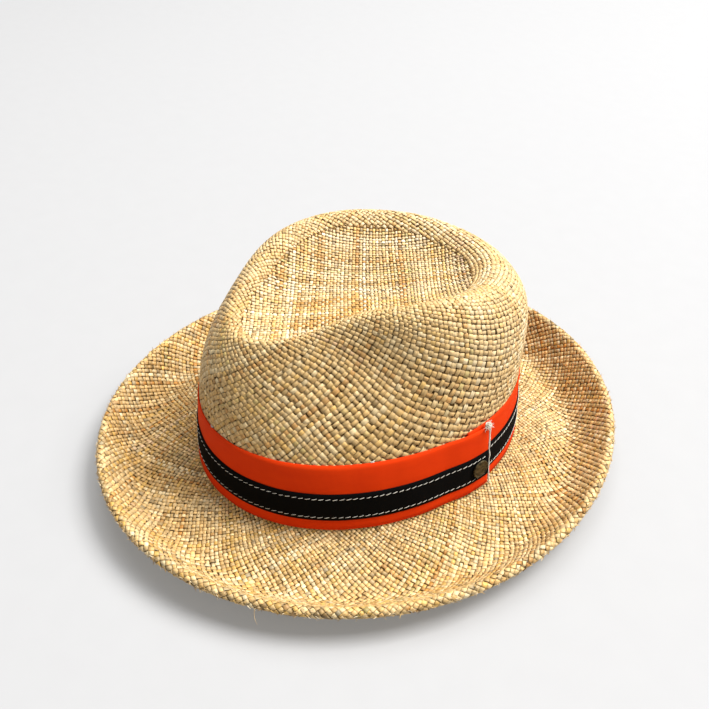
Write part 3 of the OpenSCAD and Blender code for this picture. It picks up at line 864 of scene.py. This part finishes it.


# ------------------------------------------------------------------ painted shade: a dark sheet under the weave that closes the holes so they read dark
def core():
    ts = np.concatenate([np.linspace(0.066, 0.13, 18), np.linspace(0.135, 0.34, 30), np.linspace(0.345, 0.98, 90)])
    ni = 240
    ph = np.arange(ni) * 2 * np.pi / ni
    P, T = np.meshgrid(ph, ts, indexing="ij")
    x, n = look((FACE_X, FACE_N), P.ravel(), T.ravel())
    out_, in_ = (x - 0.80 * n).reshape(ni, len(ts), 3), (x - 0.88 * n).reshape(ni, len(ts), 3)
    m = len(ts)
    v = np.concatenate([out_, in_[:, ::-1]], 1)
    idx = np.arange(ni * 2 * m).reshape(ni, 2 * m)
    b = np.roll(idx, -1, 0)
    a_ = np.concatenate([idx[:, :m - 1], idx[:, m:2 * m - 1]], 1)
    a2 = np.concatenate([idx[:, 1:m], idx[:, m + 1:2 * m]], 1)
    b_ = np.concatenate([b[:, :m - 1], b[:, m:2 * m - 1]], 1)
    b2 = np.concatenate([b[:, 1:m], b[:, m + 1:2 * m]], 1)
    f = np.stack([a_, b_, b2, a2], -1).reshape(-1, 4).tolist()
    edge = np.stack([idx[:, 2 * m - 1], b[:, 2 * m - 1], b[:, 0], idx[:, 0]], -1).tolist()
    vv = v.reshape(-1, 3)
    top, bot = len(vv), len(vv) + 1
    vv = np.concatenate([vv, [[0, 0, DISH_Z + LIFT - 1.25]], [[0, 0, DISH_Z + LIFT - 1.40]]])
    f += edge + [[int(idx[i, m - 1]), int(idx[(i + 1) % ni, m - 1]), top] for i in range(ni)]
    f += [[int(idx[(i + 1) % ni, m]), int(idx[i, m]), bot] for i in range(ni)]
    return make("straw_hole_shade_sheet", vv, f, HOLE_SHADE_M, slot="straw")


straw_parts.append(core())


# ------------------------------------------------------------------ loose fibre ends
def loose_ends():
    """Short split ends of straw: most along the rolled edge, some over the brim and the wall, one long one under the edge."""
    bag = Bag()

    def sliver(base, d, lift, length, r0, c=None):
        m = 6
        q = np.linspace(0, 1, m)[:, None]
        path = base + d * q * length + lift * (q ** 2) * length * 0.5
        lp = tube(path, np.array([0.3, 0.2, 1.0]), r0 * (1.05 - 0.75 * q[:, 0]), sides=4, flat=0.55)
        if c is None:
            c = PALETTE[rng.integers(0, 5)] * rng.uniform(0.45, 1.20) * np.array([1.0, 1.04, 1.2])
        bag.sweep(lp, tint=np.tile(np.append(c, 1.0), (m, 4, 1)), fib=np.repeat(path, 4, 0).reshape(m, 4, 3))
    edge_v = np.argmax(BR_RZ[:, :, 0], 1) / 419.0
    for kind, count in (("edge", 1700), ("brim", 520)):
        ph = rng.uniform(0, 2 * np.pi, count)
        ev = np.interp(ph, PH, edge_v)
        v = ev + rng.normal(0, 0.020, count) if kind == "edge" else ev * rng.uniform(0.12, 0.97, count)
        x, n = look((BR_X, BR_N), ph, v)
        for i in range(count):
            along = np.array([math.cos(ph[i]), math.sin(ph[i]), 0.0])
            turn = rng.uniform(-1, 1)
            if kind == "edge":
                d = along * rng.choice([-1, 1]) * rng.uniform(0.5, 1.0) + n[i] * rng.uniform(0.15, 0.75) + np.array([0, 0, rng.uniform(-0.4, 0.5)])
                sliver(x[i] - n[i] * 0.3, d / np.linalg.norm(d), n[i] * rng.uniform(-0.5, 0.3), rng.uniform(1.0, 2.8), rng.uniform(0.14, 0.30))
            else:
                out_ = np.cross(n[i], along)
                d = along * turn + out_ * rng.uniform(-1, 1) + n[i] * rng.uniform(0.08, 0.22)
                sliver(x[i] - n[i] * 0.15, d / np.linalg.norm(d), -n[i] * 0.15, rng.uniform(1.5, 4.0), rng.uniform(0.12, 0.22))
    hang_ph = math.radians(HANG)
    lit = np.array([1.1, 1.15, 1.35])
    x, n = look((BR_X, BR_N), np.array([hang_ph]), np.array([np.interp(hang_ph, PH, edge_v) + 0.01]))
    side = np.array([math.cos(hang_ph), math.sin(hang_ph), 0.0])
    sliver(x[0] - n[0] * 0.3, np.array([0, 0, -0.55]) - side * 0.10 + n[0] * 0.75, side * 0.8 - n[0] * 0.4, 8.5, 0.17, PALETTE[0] * lit)
    return bag.done("straw_loose_ends", STRAW_M, slot="straw")


HANG = 39.0
straw_parts.append(loose_ends())
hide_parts("straw_body")

# ------------------------------------------------------------------ ribbon
GAP, RIB_T, STR_T, FOOT = 0.25, 0.6, 0.5, 2.2
LAP = 111.0
S0, S1 = LAP - 9, LAP + 360
D_BASE = GAP + RIB_T
D_STRIPE = D_BASE + 0.10
D_THREAD = D_STRIPE + STR_T + 0.04
ST_LO, ST_HI = 0.163, 0.594


def smooth(x):
    y = np.clip(x, 0, 1)
    return y * y * (3 - 2 * y)


def off(s):
    return GAP + 2.1 * smooth((s - (S1 - 21)) / 14) + 0.7 * smooth((s - (S1 - 9)) / 9)


def rib_point(s, k, d):
    """s degrees along the ribbon, k share of its height, d beyond the straw; all arrays of one shape."""
    s, k, d = np.broadcast_arrays(np.asarray(s, float), np.asarray(k, float), np.asarray(d, float))
    ph = np.radians(s) % (2 * np.pi)
    z = base_z(ph) + FOOT + (RIB_H - FOOT) * np.maximum(k, 0)
    zz = z + np.minimum(k, 0) * (RIB_H - FOOT)
    r = wall_r(ph.ravel(), z.ravel()).reshape(s.shape)
    return to_xyz(ph, r + off(s) - GAP + d, zz)


def along_mm(s):
    """Length along the ribbon, mm, at s degrees."""
    q = np.arange(S0, S1 + 0.5, 0.5)
    p = rib_point(q, 0.4, D_BASE)
    d = np.concatenate([[0], np.cumsum(np.linalg.norm(np.diff(p, axis=0), axis=1))])
    return np.interp(s, q, d)


def strip(name, mat, k0, k1, d0, d1, nk, slot, nodes, wave=0.0, step=1.5, crown=0.0):
    s = np.concatenate([np.arange(S0, S1 - 24, step), np.arange(S1 - 24, S1 + 0.01, 0.75)])
    s[-1] = S1
    ks = np.linspace(k0, k1, nk)
    al = along_mm(s)
    S, K = np.meshgrid(s, ks, indexing="ij")
    e = (K - k0) / (k1 - k0)
    # the cloth is a little slack: shallow ripples, and rounded edges
    rip = wave * (0.5 + 0.5 * np.sin(np.radians(S) * 9 + 5 * e)) * np.sin(np.radians(S) * 23 + 2.0 * e)
    rnd = 0.20 * (np.clip(1 - e / 0.035, 0, 1) + np.clip(1 - (1 - e) / 0.035, 0, 1))
    puff = crown * np.sin(np.pi * e)
    outer = rib_point(S, K, d1 + rip - rnd + puff)
    inner = rib_point(S, K, d0 + rip * 0.6 + 0.0 * rnd)
    loops = np.concatenate([outer, inner[:, ::-1]], 1)
    H = (RIB_H - FOOT) * np.concatenate([K, K[:, ::-1]], 1)
    rib = np.stack([np.repeat(al[:, None], 2 * nk, 1), H, np.zeros_like(H)], -1)
    bag = Bag()
    bag.sweep(loops, rib=rib)
    ob = bag.done(name, mat, slot=slot, nodes=nodes)
    length = al[-1]
    width = (RIB_H - FOOT) * (k1 - k0)
    return ob, width, length


ribbon, rw, rl = strip("ribbon_orange", ORANGE_M, 0.0, 1.0, GAP, D_BASE, 17, "ribbon_orange", ["ribbon_base"], wave=0.10)
stripe, sw, sl = strip("ribbon_stripe_black", BLACK_M, ST_LO, ST_HI, D_STRIPE, D_STRIPE + STR_T, 9, "ribbon_black", ["ribbon_stripe"], wave=0.08)
print("ribbon flat mm", round(rw, 1), round(rl, 1), "stripe", round(sw, 1), round(sl, 1))


def stitch_row(name, k, node_name):
    bag = Bag()
    q = np.arange(LAP + 1, S1 - 0.3, 0.1)
    al = along_mm(q)
    pos = al[0] + 0.4
    while pos < al[-1] - 2.8:
        ln = 3.05 + rng.uniform(-0.2, 0.2)
        u = np.linspace(0, 1, 8)
        s = np.interp(pos + u * ln, al, q)
        kk = k + (u - 0.5) * 0.019 + rng.normal(0, 0.0012)
        dip = 0.34 * (1 - np.sin(np.pi * np.clip(u, 0.0, 1.0)) ** 0.35)
        p = rib_point(s, kk, D_THREAD + 0.10 - dip)
        n = to_xyz(np.radians(s), np.ones(len(s)), 0 * s - LIFT)
        tw = u * 9 + rng.uniform(0, 6)
        rad = 0.185 * (0.75 + 0.25 * np.sin(np.pi * u)) * (1 + 0.08 * np.sin(tw * 3))
        bag.sweep(tube(p, n, rad, 6, phase=tw))
        pos += 3.6 + rng.uniform(-0.18, 0.18)
    return bag.done(name, THREAD_M, nodes=[node_name], slot="thread")


stitch_row("stitches_upper", ST_HI - 0.076, "stripe_stitches_upper")
stitch_row("stitches_lower", ST_LO + 0.056, "stripe_stitches_lower")


# short tacks on the ribbon's top edge
def tacks():
    bag = Bag()
    for a in (2, 62, 182, 242, 302):
        ph = math.radians(a)
        z = base_z(np.array(ph)) + RIB_H
        for dx in (-0.28, 0.28):
            u = np.linspace(-1, 1, 9)
            ps = ph + (u * 1.25) / 95.0
            r = wall_r(ps, np.full(9, z + 0.55)) + 0.55 - 0.55 * np.abs(u) ** 3
            p = to_xyz(ps, r, z + 0.35 + dx + 0.25 * u * (1 if dx > 0 else -1))
            bag.sweep(tube(p, to_xyz(ps, np.ones(9), np.full(9, -LIFT)), 0.2, 6))
    return bag.done("ribbon_tack_threads", THREAD_M, nodes=["ribbon_tacks"], slot="thread")


tacks()


# twisted thread down the lapped end, and its frayed knot
def lap_thread():
    bag = Bag()
    n = 130
    k = np.linspace(1.015, -0.032, n)
    s = S1 + 0.55 + 0.16 * np.sin(k * 17) + 0.10 * np.sin(k * 41 + 1)
    base = rib_point(np.full(n, S1 - 0.001) + 0 * s, k, np.full(n, D_STRIPE - 0.30))
    ph = np.radians(s)
    r = np.hypot(base[:, 0], base[:, 1]) + 0.30 + 0.12 * np.sin(k * 29)
    mid = to_xyz(ph, r, base[:, 2] - LIFT)
    out = to_xyz(ph, np.ones(n), np.full(n, -LIFT))
    t = np.gradient(mid, axis=0)
    t /= np.linalg.norm(t, axis=1, keepdims=True)
    b = np.cross(t, out)
    arc = np.concatenate([[0], np.cumsum(np.linalg.norm(np.diff(mid, axis=0), axis=1))])
    for ply in range(3):
        a = arc * 2.5 + ply * 2 * np.pi / 3
        p = mid + 0.31 * (np.cos(a)[:, None] * b + np.sin(a)[:, None] * out)
        bag.sweep(tube(p, out, 0.31 + 0.02 * np.sin(arc * 3 + ply), 6, phase=a))
    return bag.done("lap_thread_twisted", THREAD_M, nodes=["lap_thread"], slot="thread")


lap_thread()


def lap_knot():
    bag = Bag()
    c = rib_point(np.array([S1 - 0.7]), np.array([1.0]), np.array([D_STRIPE]))[0] + np.array([0, 0, 1.0])
    ph = math.radians(S1 - 0.7)
    out = np.array([math.sin(ph), -math.cos(ph), 0])
    side = np.array([math.cos(ph), math.sin(ph), 0])
    up = np.array([0, 0, 1.0])
    # wound core: loops of thread round each other
    for k in range(9):
        u = np.linspace(0, 2 * np.pi * 0.93, 26)
        ax = rng.normal(0, 1, 3)
        ax /= np.linalg.norm(ax)
        e1 = np.cross(ax, up + 0.01)
        e1 /= np.linalg.norm(e1)
        e2 = np.cross(ax, e1)
        rr = rng.uniform(0.95, 1.55)
        cc = c + side * rng.uniform(-1.3, 1.1) + up * rng.uniform(-0.6, 0.8) + out * rng.uniform(-0.35, 0.35)
        p = cc + rr * (np.cos(u)[:, None] * e1 + np.sin(u)[:, None] * e2)
        bag.sweep(tube(p, ax, 0.30, 6))
    # loose fibres
    for k in range(80):
        u = np.linspace(0, 1, 9)[:, None]
        a, b2 = rng.uniform(-np.pi, np.pi), rng.uniform(-0.2, 0.9)
        d = np.cos(a) * side + np.sin(a) * up * 0.9 + b2 * out * 0.8
        d /= np.linalg.norm(d)
        bend = rng.normal(0, 1, 3) * 0.8
        ln = rng.uniform(1.4, 3.4)
        p = c + side * rng.uniform(-1.4, 1.0) + d * ln * u + bend * u * u * 0.8
        bag.sweep(tube(p, out, 0.12 * (1 - 0.5 * u[:, 0]), 4))
    return bag.done("lap_knot_frayed", THREAD_M, nodes=["lap_knot"], slot="thread")


lap_knot()

# ------------------------------------------------------------------ badge
_lo, _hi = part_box("badge_disc")
_joint = [j for j in frame["joints"] if j["name"] == "badge_turn"][0]
b_n = np.array(_joint["axis"], float)
b_n /= np.linalg.norm(b_n)
b_q = np.array(_joint["pos_m"], float) / MM
_bc = np.array([(l + h) / 2 for l, h in zip(_lo, _hi)]) / MM
b_p = b_q + b_n * np.dot(_bc - b_q, b_n)                # disc centre on the axis
e_u = np.cross([0, 0, 1.0], b_n)
e_u /= np.linalg.norm(e_u)
e_v = np.cross(b_n, e_u)


def lathe(bag, prof_rz, n=72, relief=None):
    """Closed turned solid about the badge axis; prof is a list of (radius, height) from the axis to the axis."""
    rows = []
    q = np.arange(n) / n * 2 * np.pi
    for r, z in prof_rz:
        zz = np.full(n, z) + (relief(r, q) if relief and z > 0 else 0)
        rows.append(b_p + r * np.cos(q)[:, None] * e_u + r * np.sin(q)[:, None] * e_v + zz[:, None] * b_n)
    v = np.concatenate(rows)
    m = len(rows)
    f = [[i * n + j, i * n + (j + 1) % n, (i + 1) * n + (j + 1) % n, (i + 1) * n + j] for i in range(m - 1) for j in range(n)]
    f.append(list(range(n))[::-1])
    f.append([(m - 1) * n + j for j in range(n)])
    bag.solid(v, [x[::-1] for x in f])


def badge():
    rr = 5.4
    t = 0.55
    seeds = rng.uniform(-4.0, 4.0, (26, 2))
    amp_ = rng.uniform(-0.16, 0.20, 26)

    def relief(r, q):
        if r > 4.55:
            return 0 * q
        x, y = r * np.cos(q), r * np.sin(q)
        z = sum(a * np.exp(-((x - sx) ** 2 + (y - sy) ** 2) / 0.55) for (sx, sy), a in zip(seeds, amp_))
        return z * min(1, (4.6 - r) / 0.4)
    prof = [(0.02, -t), (2.0, -t), (rr - 0.25, -t), (rr - 0.05, -t + 0.12), (rr, -t + 0.35), (rr, t - 0.30), (rr - 0.08, t - 0.10),
            (rr - 0.28, t), (rr - 0.52, t - 0.03), (rr - 0.70, t - 0.22), (4.6, t - 0.36)]
    prof += [(r, t - 0.36) for r in np.linspace(4.45, 0.02, 30)]
    bag = Bag()
    lathe(bag, prof, 96, relief)
    return bag.done("badge_disc_relief", BRONZE_M, body="badge", nodes=["badge_disc"], slot="badge_bronze")


badge()
for n_ in ("badge_post", "badge_backplate"):
    o = frame["nodes"][n_]
    o.data.materials.clear()
    o.data.materials.append(BRONZE_M)


# ------------------------------------------------------------------ inside: sweatband, reed, stitches, bow, label
def in_r(ph, z):
    """Radius of the straw's inner face at height z above the crown base, all arrays."""
    zz = base_z(ph) + z
    r = wall_r(ph, zz)
    slope = (wall_r(ph, zz + 0.4) - wall_r(ph, zz - 0.4)) / 0.8
    return r - STRAW * np.sqrt(1 + slope ** 2)


def sweat(ph, z, d):
    z = np.asarray(z, float)
    r = np.minimum(in_r(ph, np.maximum(z, 5)), in_r(ph, 8 + 0 * z) + 0.6) - 0.6 - d
    return to_xyz(ph, r, base_z(ph) + z)


def sweatband():
    ph = np.radians(np.linspace(180.3, 539.7, 241))
    zs = np.concatenate([[1.5, 1.9], np.linspace(3, 31.5, 16), [32.6, 33.0]])
    P, Z = np.meshgrid(ph, zs, indexing="ij")
    edge = np.minimum(np.clip((Z - 1.5) / 0.6, 0, 1), np.clip((33 - Z) / 0.6, 0, 1))
    groove = 0.16 * np.exp(-((Z - 3.6) / 0.45) ** 2) + 0.10 * np.exp(-((Z - 31.2) / 0.30) ** 2)
    slack = 0.12 * np.sin(P * 13 + Z * 0.12) * np.clip((Z - 8) / 20, 0, 1)
    a = sweat(P, Z, 0.10 * (1 - edge))
    b = sweat(P, Z, 1.0 - 0.28 * (1 - edge) - groove + slack)
    bag = Bag()
    bag.sweep(np.concatenate([a, b[:, ::-1]], 1))
    return bag.done("sweatband_leather_band", LEATHER_M, nodes=["sweatband"], slot="sweatband_leather")


sweatband()


def reed():
    n = 300
    ph = np.arange(n) / n * 2 * np.pi
    r = in_r(ph, 5 + 0 * ph) - 0.6 - 0.5
    p = to_xyz(ph, r, base_z(ph) + 0.6)
    up = np.tile([0, 0, 1.0], (n, 1))
    q = np.arange(8) / 8 * 2 * np.pi
    t = np.roll(p, -1, 0) - np.roll(p, 1, 0)
    t /= np.linalg.norm(t, axis=1, keepdims=True)
    b = np.cross(t, up)
    rad = 0.72 + 0.03 * np.sin(ph * 40)
    loops = p[:, None] + rad[:, None, None] * (np.cos(q)[None, :, None] * b[:, None] + np.sin(q)[None, :, None] * up[:, None])
    bag = Bag()
    bag.sweep(loops, closed=True)
    return bag.done("sweatband_reed_edge", REED_M, nodes=["sweatband_reed"], slot="sweatband_leather")


reed()


def ring_stitches(name, node_name, fn, total, pitch, length, rad, normal_fn):
    """Dashes of thread on a closed path: fn(fraction) -> points, normal_fn(fraction) -> outward."""
    bag = Bag()
    n = int(total / pitch)
    for i in range(n):
        u = np.linspace(0, 1, 6)
        f = (i + (u - 0.5) * length / pitch) / n
        p, nn = fn(f), normal_fn(f)
        dip = rad * 1.5 * (1 - np.sin(np.pi * u) ** 0.4)
        p = p - nn * dip[:, None]
        bag.sweep(tube(p, nn, rad * (0.8 + 0.2 * np.sin(np.pi * u)), 6, phase=u * 6 + i))
    return bag.done(name, THREAD_M, nodes=[node_name], slot="thread")


def _ss(f):
    ph = f * 2 * np.pi
    r = np.minimum(in_r(ph, 5 + 0 * ph), in_r(ph, 8 + 0 * ph) + 0.6) - 1.6 - 0.04
    return to_xyz(ph, r, base_z(ph) + 3.6)


ring_stitches("sweatband_sewing", "sweatband_stitches", _ss, 580, 3.4, 2.5, 0.2,
              lambda f: -to_xyz(f * 2 * np.pi, np.ones(len(f)), np.full(len(f), -LIFT)))


def hem_line(f):
    ph = np.interp(f % 1.0, _fr, PH)
    v = 1 - 3.2 / BR_LEN.mean()
    x, n = look((BR_X, BR_N), ph, np.full(len(ph), v))
    return x + n * 0.12


def hem_norm(f):
    ph = np.interp(f % 1.0, _fr, PH)
    return look((BR_X, BR_N), ph, np.full(len(ph), 1 - 3.2 / BR_LEN.mean()))[1]


ring_stitches("hem_sewing", "hem_stitches", hem_line, 930, 5.0, 3.6, 0.26, hem_norm)


def seam_stitches():
    bag = Bag()
    ph0 = math.pi
    for z in np.arange(6, 31, 4.0):
        for sg in (-1, 1):
            u = np.linspace(-1, 1, 9)
            ph = ph0 + u * 1.6 / 98.0
            p = sweat(ph, z + sg * u * 1.0, 1.0 + 0.30 - 0.35 * np.abs(u) ** 3)
            nn = -to_xyz(ph, np.ones(9), np.full(9, -LIFT))
            bag.sweep(tube(p, nn, 0.2, 6))
    return bag.done("sweatband_seam_crosses", THREAD_M, nodes=["sweatband_seam_stitches"], slot="thread")


seam_stitches()


def bow():
    c = sweat(np.array([math.pi]), np.array([10.0]), 2.7)[0]
    y0 = c[1] - 0.25
    bag = Bag()
    w = 1.35
    for sg in (1, -1):
        u = np.linspace(0, 1, 28)
        a = u * 2 * np.pi
        x = sg * (2.2 + 4.4 * (1 - np.cos(a)) * 1.02)
        y = y0 - 0.05 - 0.75 * np.sin(a) * np.sin(np.pi * u) ** 0.6
        hw = (1.5 + 1.3 * np.sin(np.pi * u) ** 0.8)
        z = c[2] + 0.25 * np.sin(a)
        rows = []
        for k in range(28):
            tx = np.array([x[k], y[k], z[k]])
            up = np.array([0, 0, 1.0])
            th = np.array([0, 0.14, 0])
            rows.append([tx - up * hw[k] - th, tx + up * hw[k] - th, tx + up * hw[k] + th, tx - up * hw[k] + th])
        L = np.array(rows)
        rib = np.zeros((28, 4, 3)); rib[..., 0] = (u * 20)[:, None]; rib[..., 1] = hw[:, None] * np.array([-1, 1, 1, -1])
        bag.sweep(L, rib=rib)
        # tail
        u2 = np.linspace(0, 1, 10)
        x2 = sg * (1.0 + 7.5 * u2); z2 = c[2] - 0.8 - 3.4 * u2; y2 = y0 + 0.25 - 0.3 * np.sin(3 * u2)
        rows = []
        for k in range(10):
            tx = np.array([x2[k], y2[k], z2[k]])
            dn_ = np.array([0.35 * sg, 0, 0.95])
            th = np.array([0, 0.14, 0])
            rows.append([tx - dn_ * 1.2 - th, tx + dn_ * 1.2 - th, tx + dn_ * 1.2 + th, tx - dn_ * 1.2 + th])
        rib = np.zeros((10, 4, 3)); rib[..., 0] = (u2 * 8)[:, None]
        bag.sweep(np.array(rows), rib=rib)
    # knot
    q = np.arange(16) / 16 * 2 * np.pi
    zs = np.linspace(-1.9, 1.9, 7)
    loops = np.array([[[c[0] + 2.3 * np.cos(a) * (1 - 0.08 * abs(z)), y0 - 0.15 + 0.95 * np.sin(a) * (1 - 0.10 * abs(z)), c[2] + z] for a in q] for z in zs])
    rib = np.zeros((7, 16, 3)); rib[..., 0] = q[None] * 2.3; rib[..., 1] = zs[:, None]
    bag.sweep(loops, rib=rib)
    return bag.done("sweatband_small_bow", BLACK_M, nodes=["sweatband_bow"], slot="ribbon_black", smooth=True)


bow()


def label():
    ph = np.radians(np.linspace(197, 206, 19))
    zs = np.linspace(12, 24, 13)
    P, Z = np.meshgrid(ph, zs, indexing="ij")
    e = np.minimum(np.minimum((P - ph[0]) / 0.01, (ph[-1] - P) / 0.01), np.minimum((Z - 12) / 0.5, (24 - Z) / 0.5))
    lift_ = 0.10 * np.clip(e, 0, 1) + 0.05 * np.sin(P * 90) * np.clip(e, 0, 1)
    a, b = sweat(P, Z, 1.2), sweat(P, Z, 1.5 + lift_)
    H = np.concatenate([Z, Z[:, ::-1]], 1)
    rib = np.stack([np.concatenate([P, P], 1) * 97, H, 0 * H], -1)
    bag = Bag()
    bag.sweep(np.concatenate([a, b[:, ::-1]], 1), rib=rib)
    return bag.done("size_label_blank", LABEL_M, nodes=["size_label"], slot="label_cloth")


label_ob = label()
for n_ in ("brim_wire", "wire_joiner"):
    o = frame["nodes"][n_]
    o.data.materials.clear()
    o.data.materials.append(STEEL_M)

# ------------------------------------------------------------------ floor, light, camera
FLOOR_M, _nt, _p = new_mat("floor_paper_painted_glow")
_n = noise(_nt, objco(_nt), 60.0, 2.0)
_nt.links.new(mixc(_nt, (0.330, 0.331, 0.338, 1), (0.345, 0.346, 0.353, 1), _n), _p.inputs["Base Color"])
_p.inputs["Roughness"].default_value = 0.9
_p.inputs["Specular IOR Level"].default_value = 0.15
_g = 24
_xs = np.linspace(-2.5, 2.5, _g + 1)
_v = [(x, y, 0.0) for y in _xs for x in _xs]
_f = [(j * (_g + 1) + i, j * (_g + 1) + i + 1, (j + 1) * (_g + 1) + i + 1, (j + 1) * (_g + 1) + i) for j in range(_g) for i in range(_g)]
# painted light: the floor glows faintly though it is no lamp, which lightens the hat's shadow on it
_p.inputs["Emission Color"].default_value = (1.0, 0.985, 0.945, 1)
_p.inputs["Emission Strength"].default_value = 0.19
_me = bpy.data.meshes.new("floor")
_me.from_pydata(_v, [], _f)
_me.materials.append(FLOOR_M)
floor = bpy.data.objects.new("floor", _me)
scene.collection.objects.link(floor)

world = bpy.data.worlds.new("studio")
scene.world = world
world.use_nodes = True
world.node_tree.nodes["Background"].inputs[0].default_value = (0.97, 0.98, 1.0, 1)
world.node_tree.nodes["Background"].inputs[1].default_value = 0.32


def area(name, loc, target, size, power, colour=(1, 1, 1)):
    l = bpy.data.lights.new(name, "AREA")
    l.shape = "SQUARE"
    l.size = size
    l.energy = power
    l.color = colour
    o = bpy.data.objects.new(name, l)
    scene.collection.objects.link(o)
    d = Vector(loc) - Vector(target)
    o.location = loc
    o.rotation_euler = d.to_track_quat("Z", "Y").to_euler()
    return o


area("key", (0.85, 2.10, 3.4), (0, 0, 0.05), 2.0, 272.0, (1.0, 0.99, 0.97))
area("top", (-0.90, 0.90, 3.4), (0, 0, 0.05), 2.6, 88.0, (1.0, 1.0, 1.0))

F_PX, DIST, EL, AZ, TX, TZ, ROLL = 800.0, 474.13, 38.0, 58.03, -4.58, 52.46 + LIFT, 1.07
e_, a_, r_ = math.radians(EL), math.radians(AZ), math.radians(ROLL)
back = Vector((math.sin(a_) * math.cos(e_), -math.cos(a_) * math.cos(e_), math.sin(e_)))
right = Vector((math.cos(a_), math.sin(a_), 0))
up_ = back.cross(right)
right2 = right * math.cos(r_) + up_ * math.sin(r_)
up2 = -right * math.sin(r_) + up_ * math.cos(r_)
pos = (right2 * TX + Vector((0, 0, TZ)) + back * DIST) * MM
cam = bpy.data.cameras.new("camera")
cam.sensor_width = 36
cam.lens = F_PX / 709 * 36
cam.clip_start = 0.01
cam_o = bpy.data.objects.new("camera", cam)
scene.collection.objects.link(cam_o)
cam_o.matrix_world = Matrix(((right2.x, up2.x, back.x, pos.x), (right2.y, up2.y, back.y, pos.y), (right2.z, up2.z, back.z, pos.z), (0, 0, 0, 1)))
scene.camera = cam_o
scene.view_settings.view_transform = "Standard"
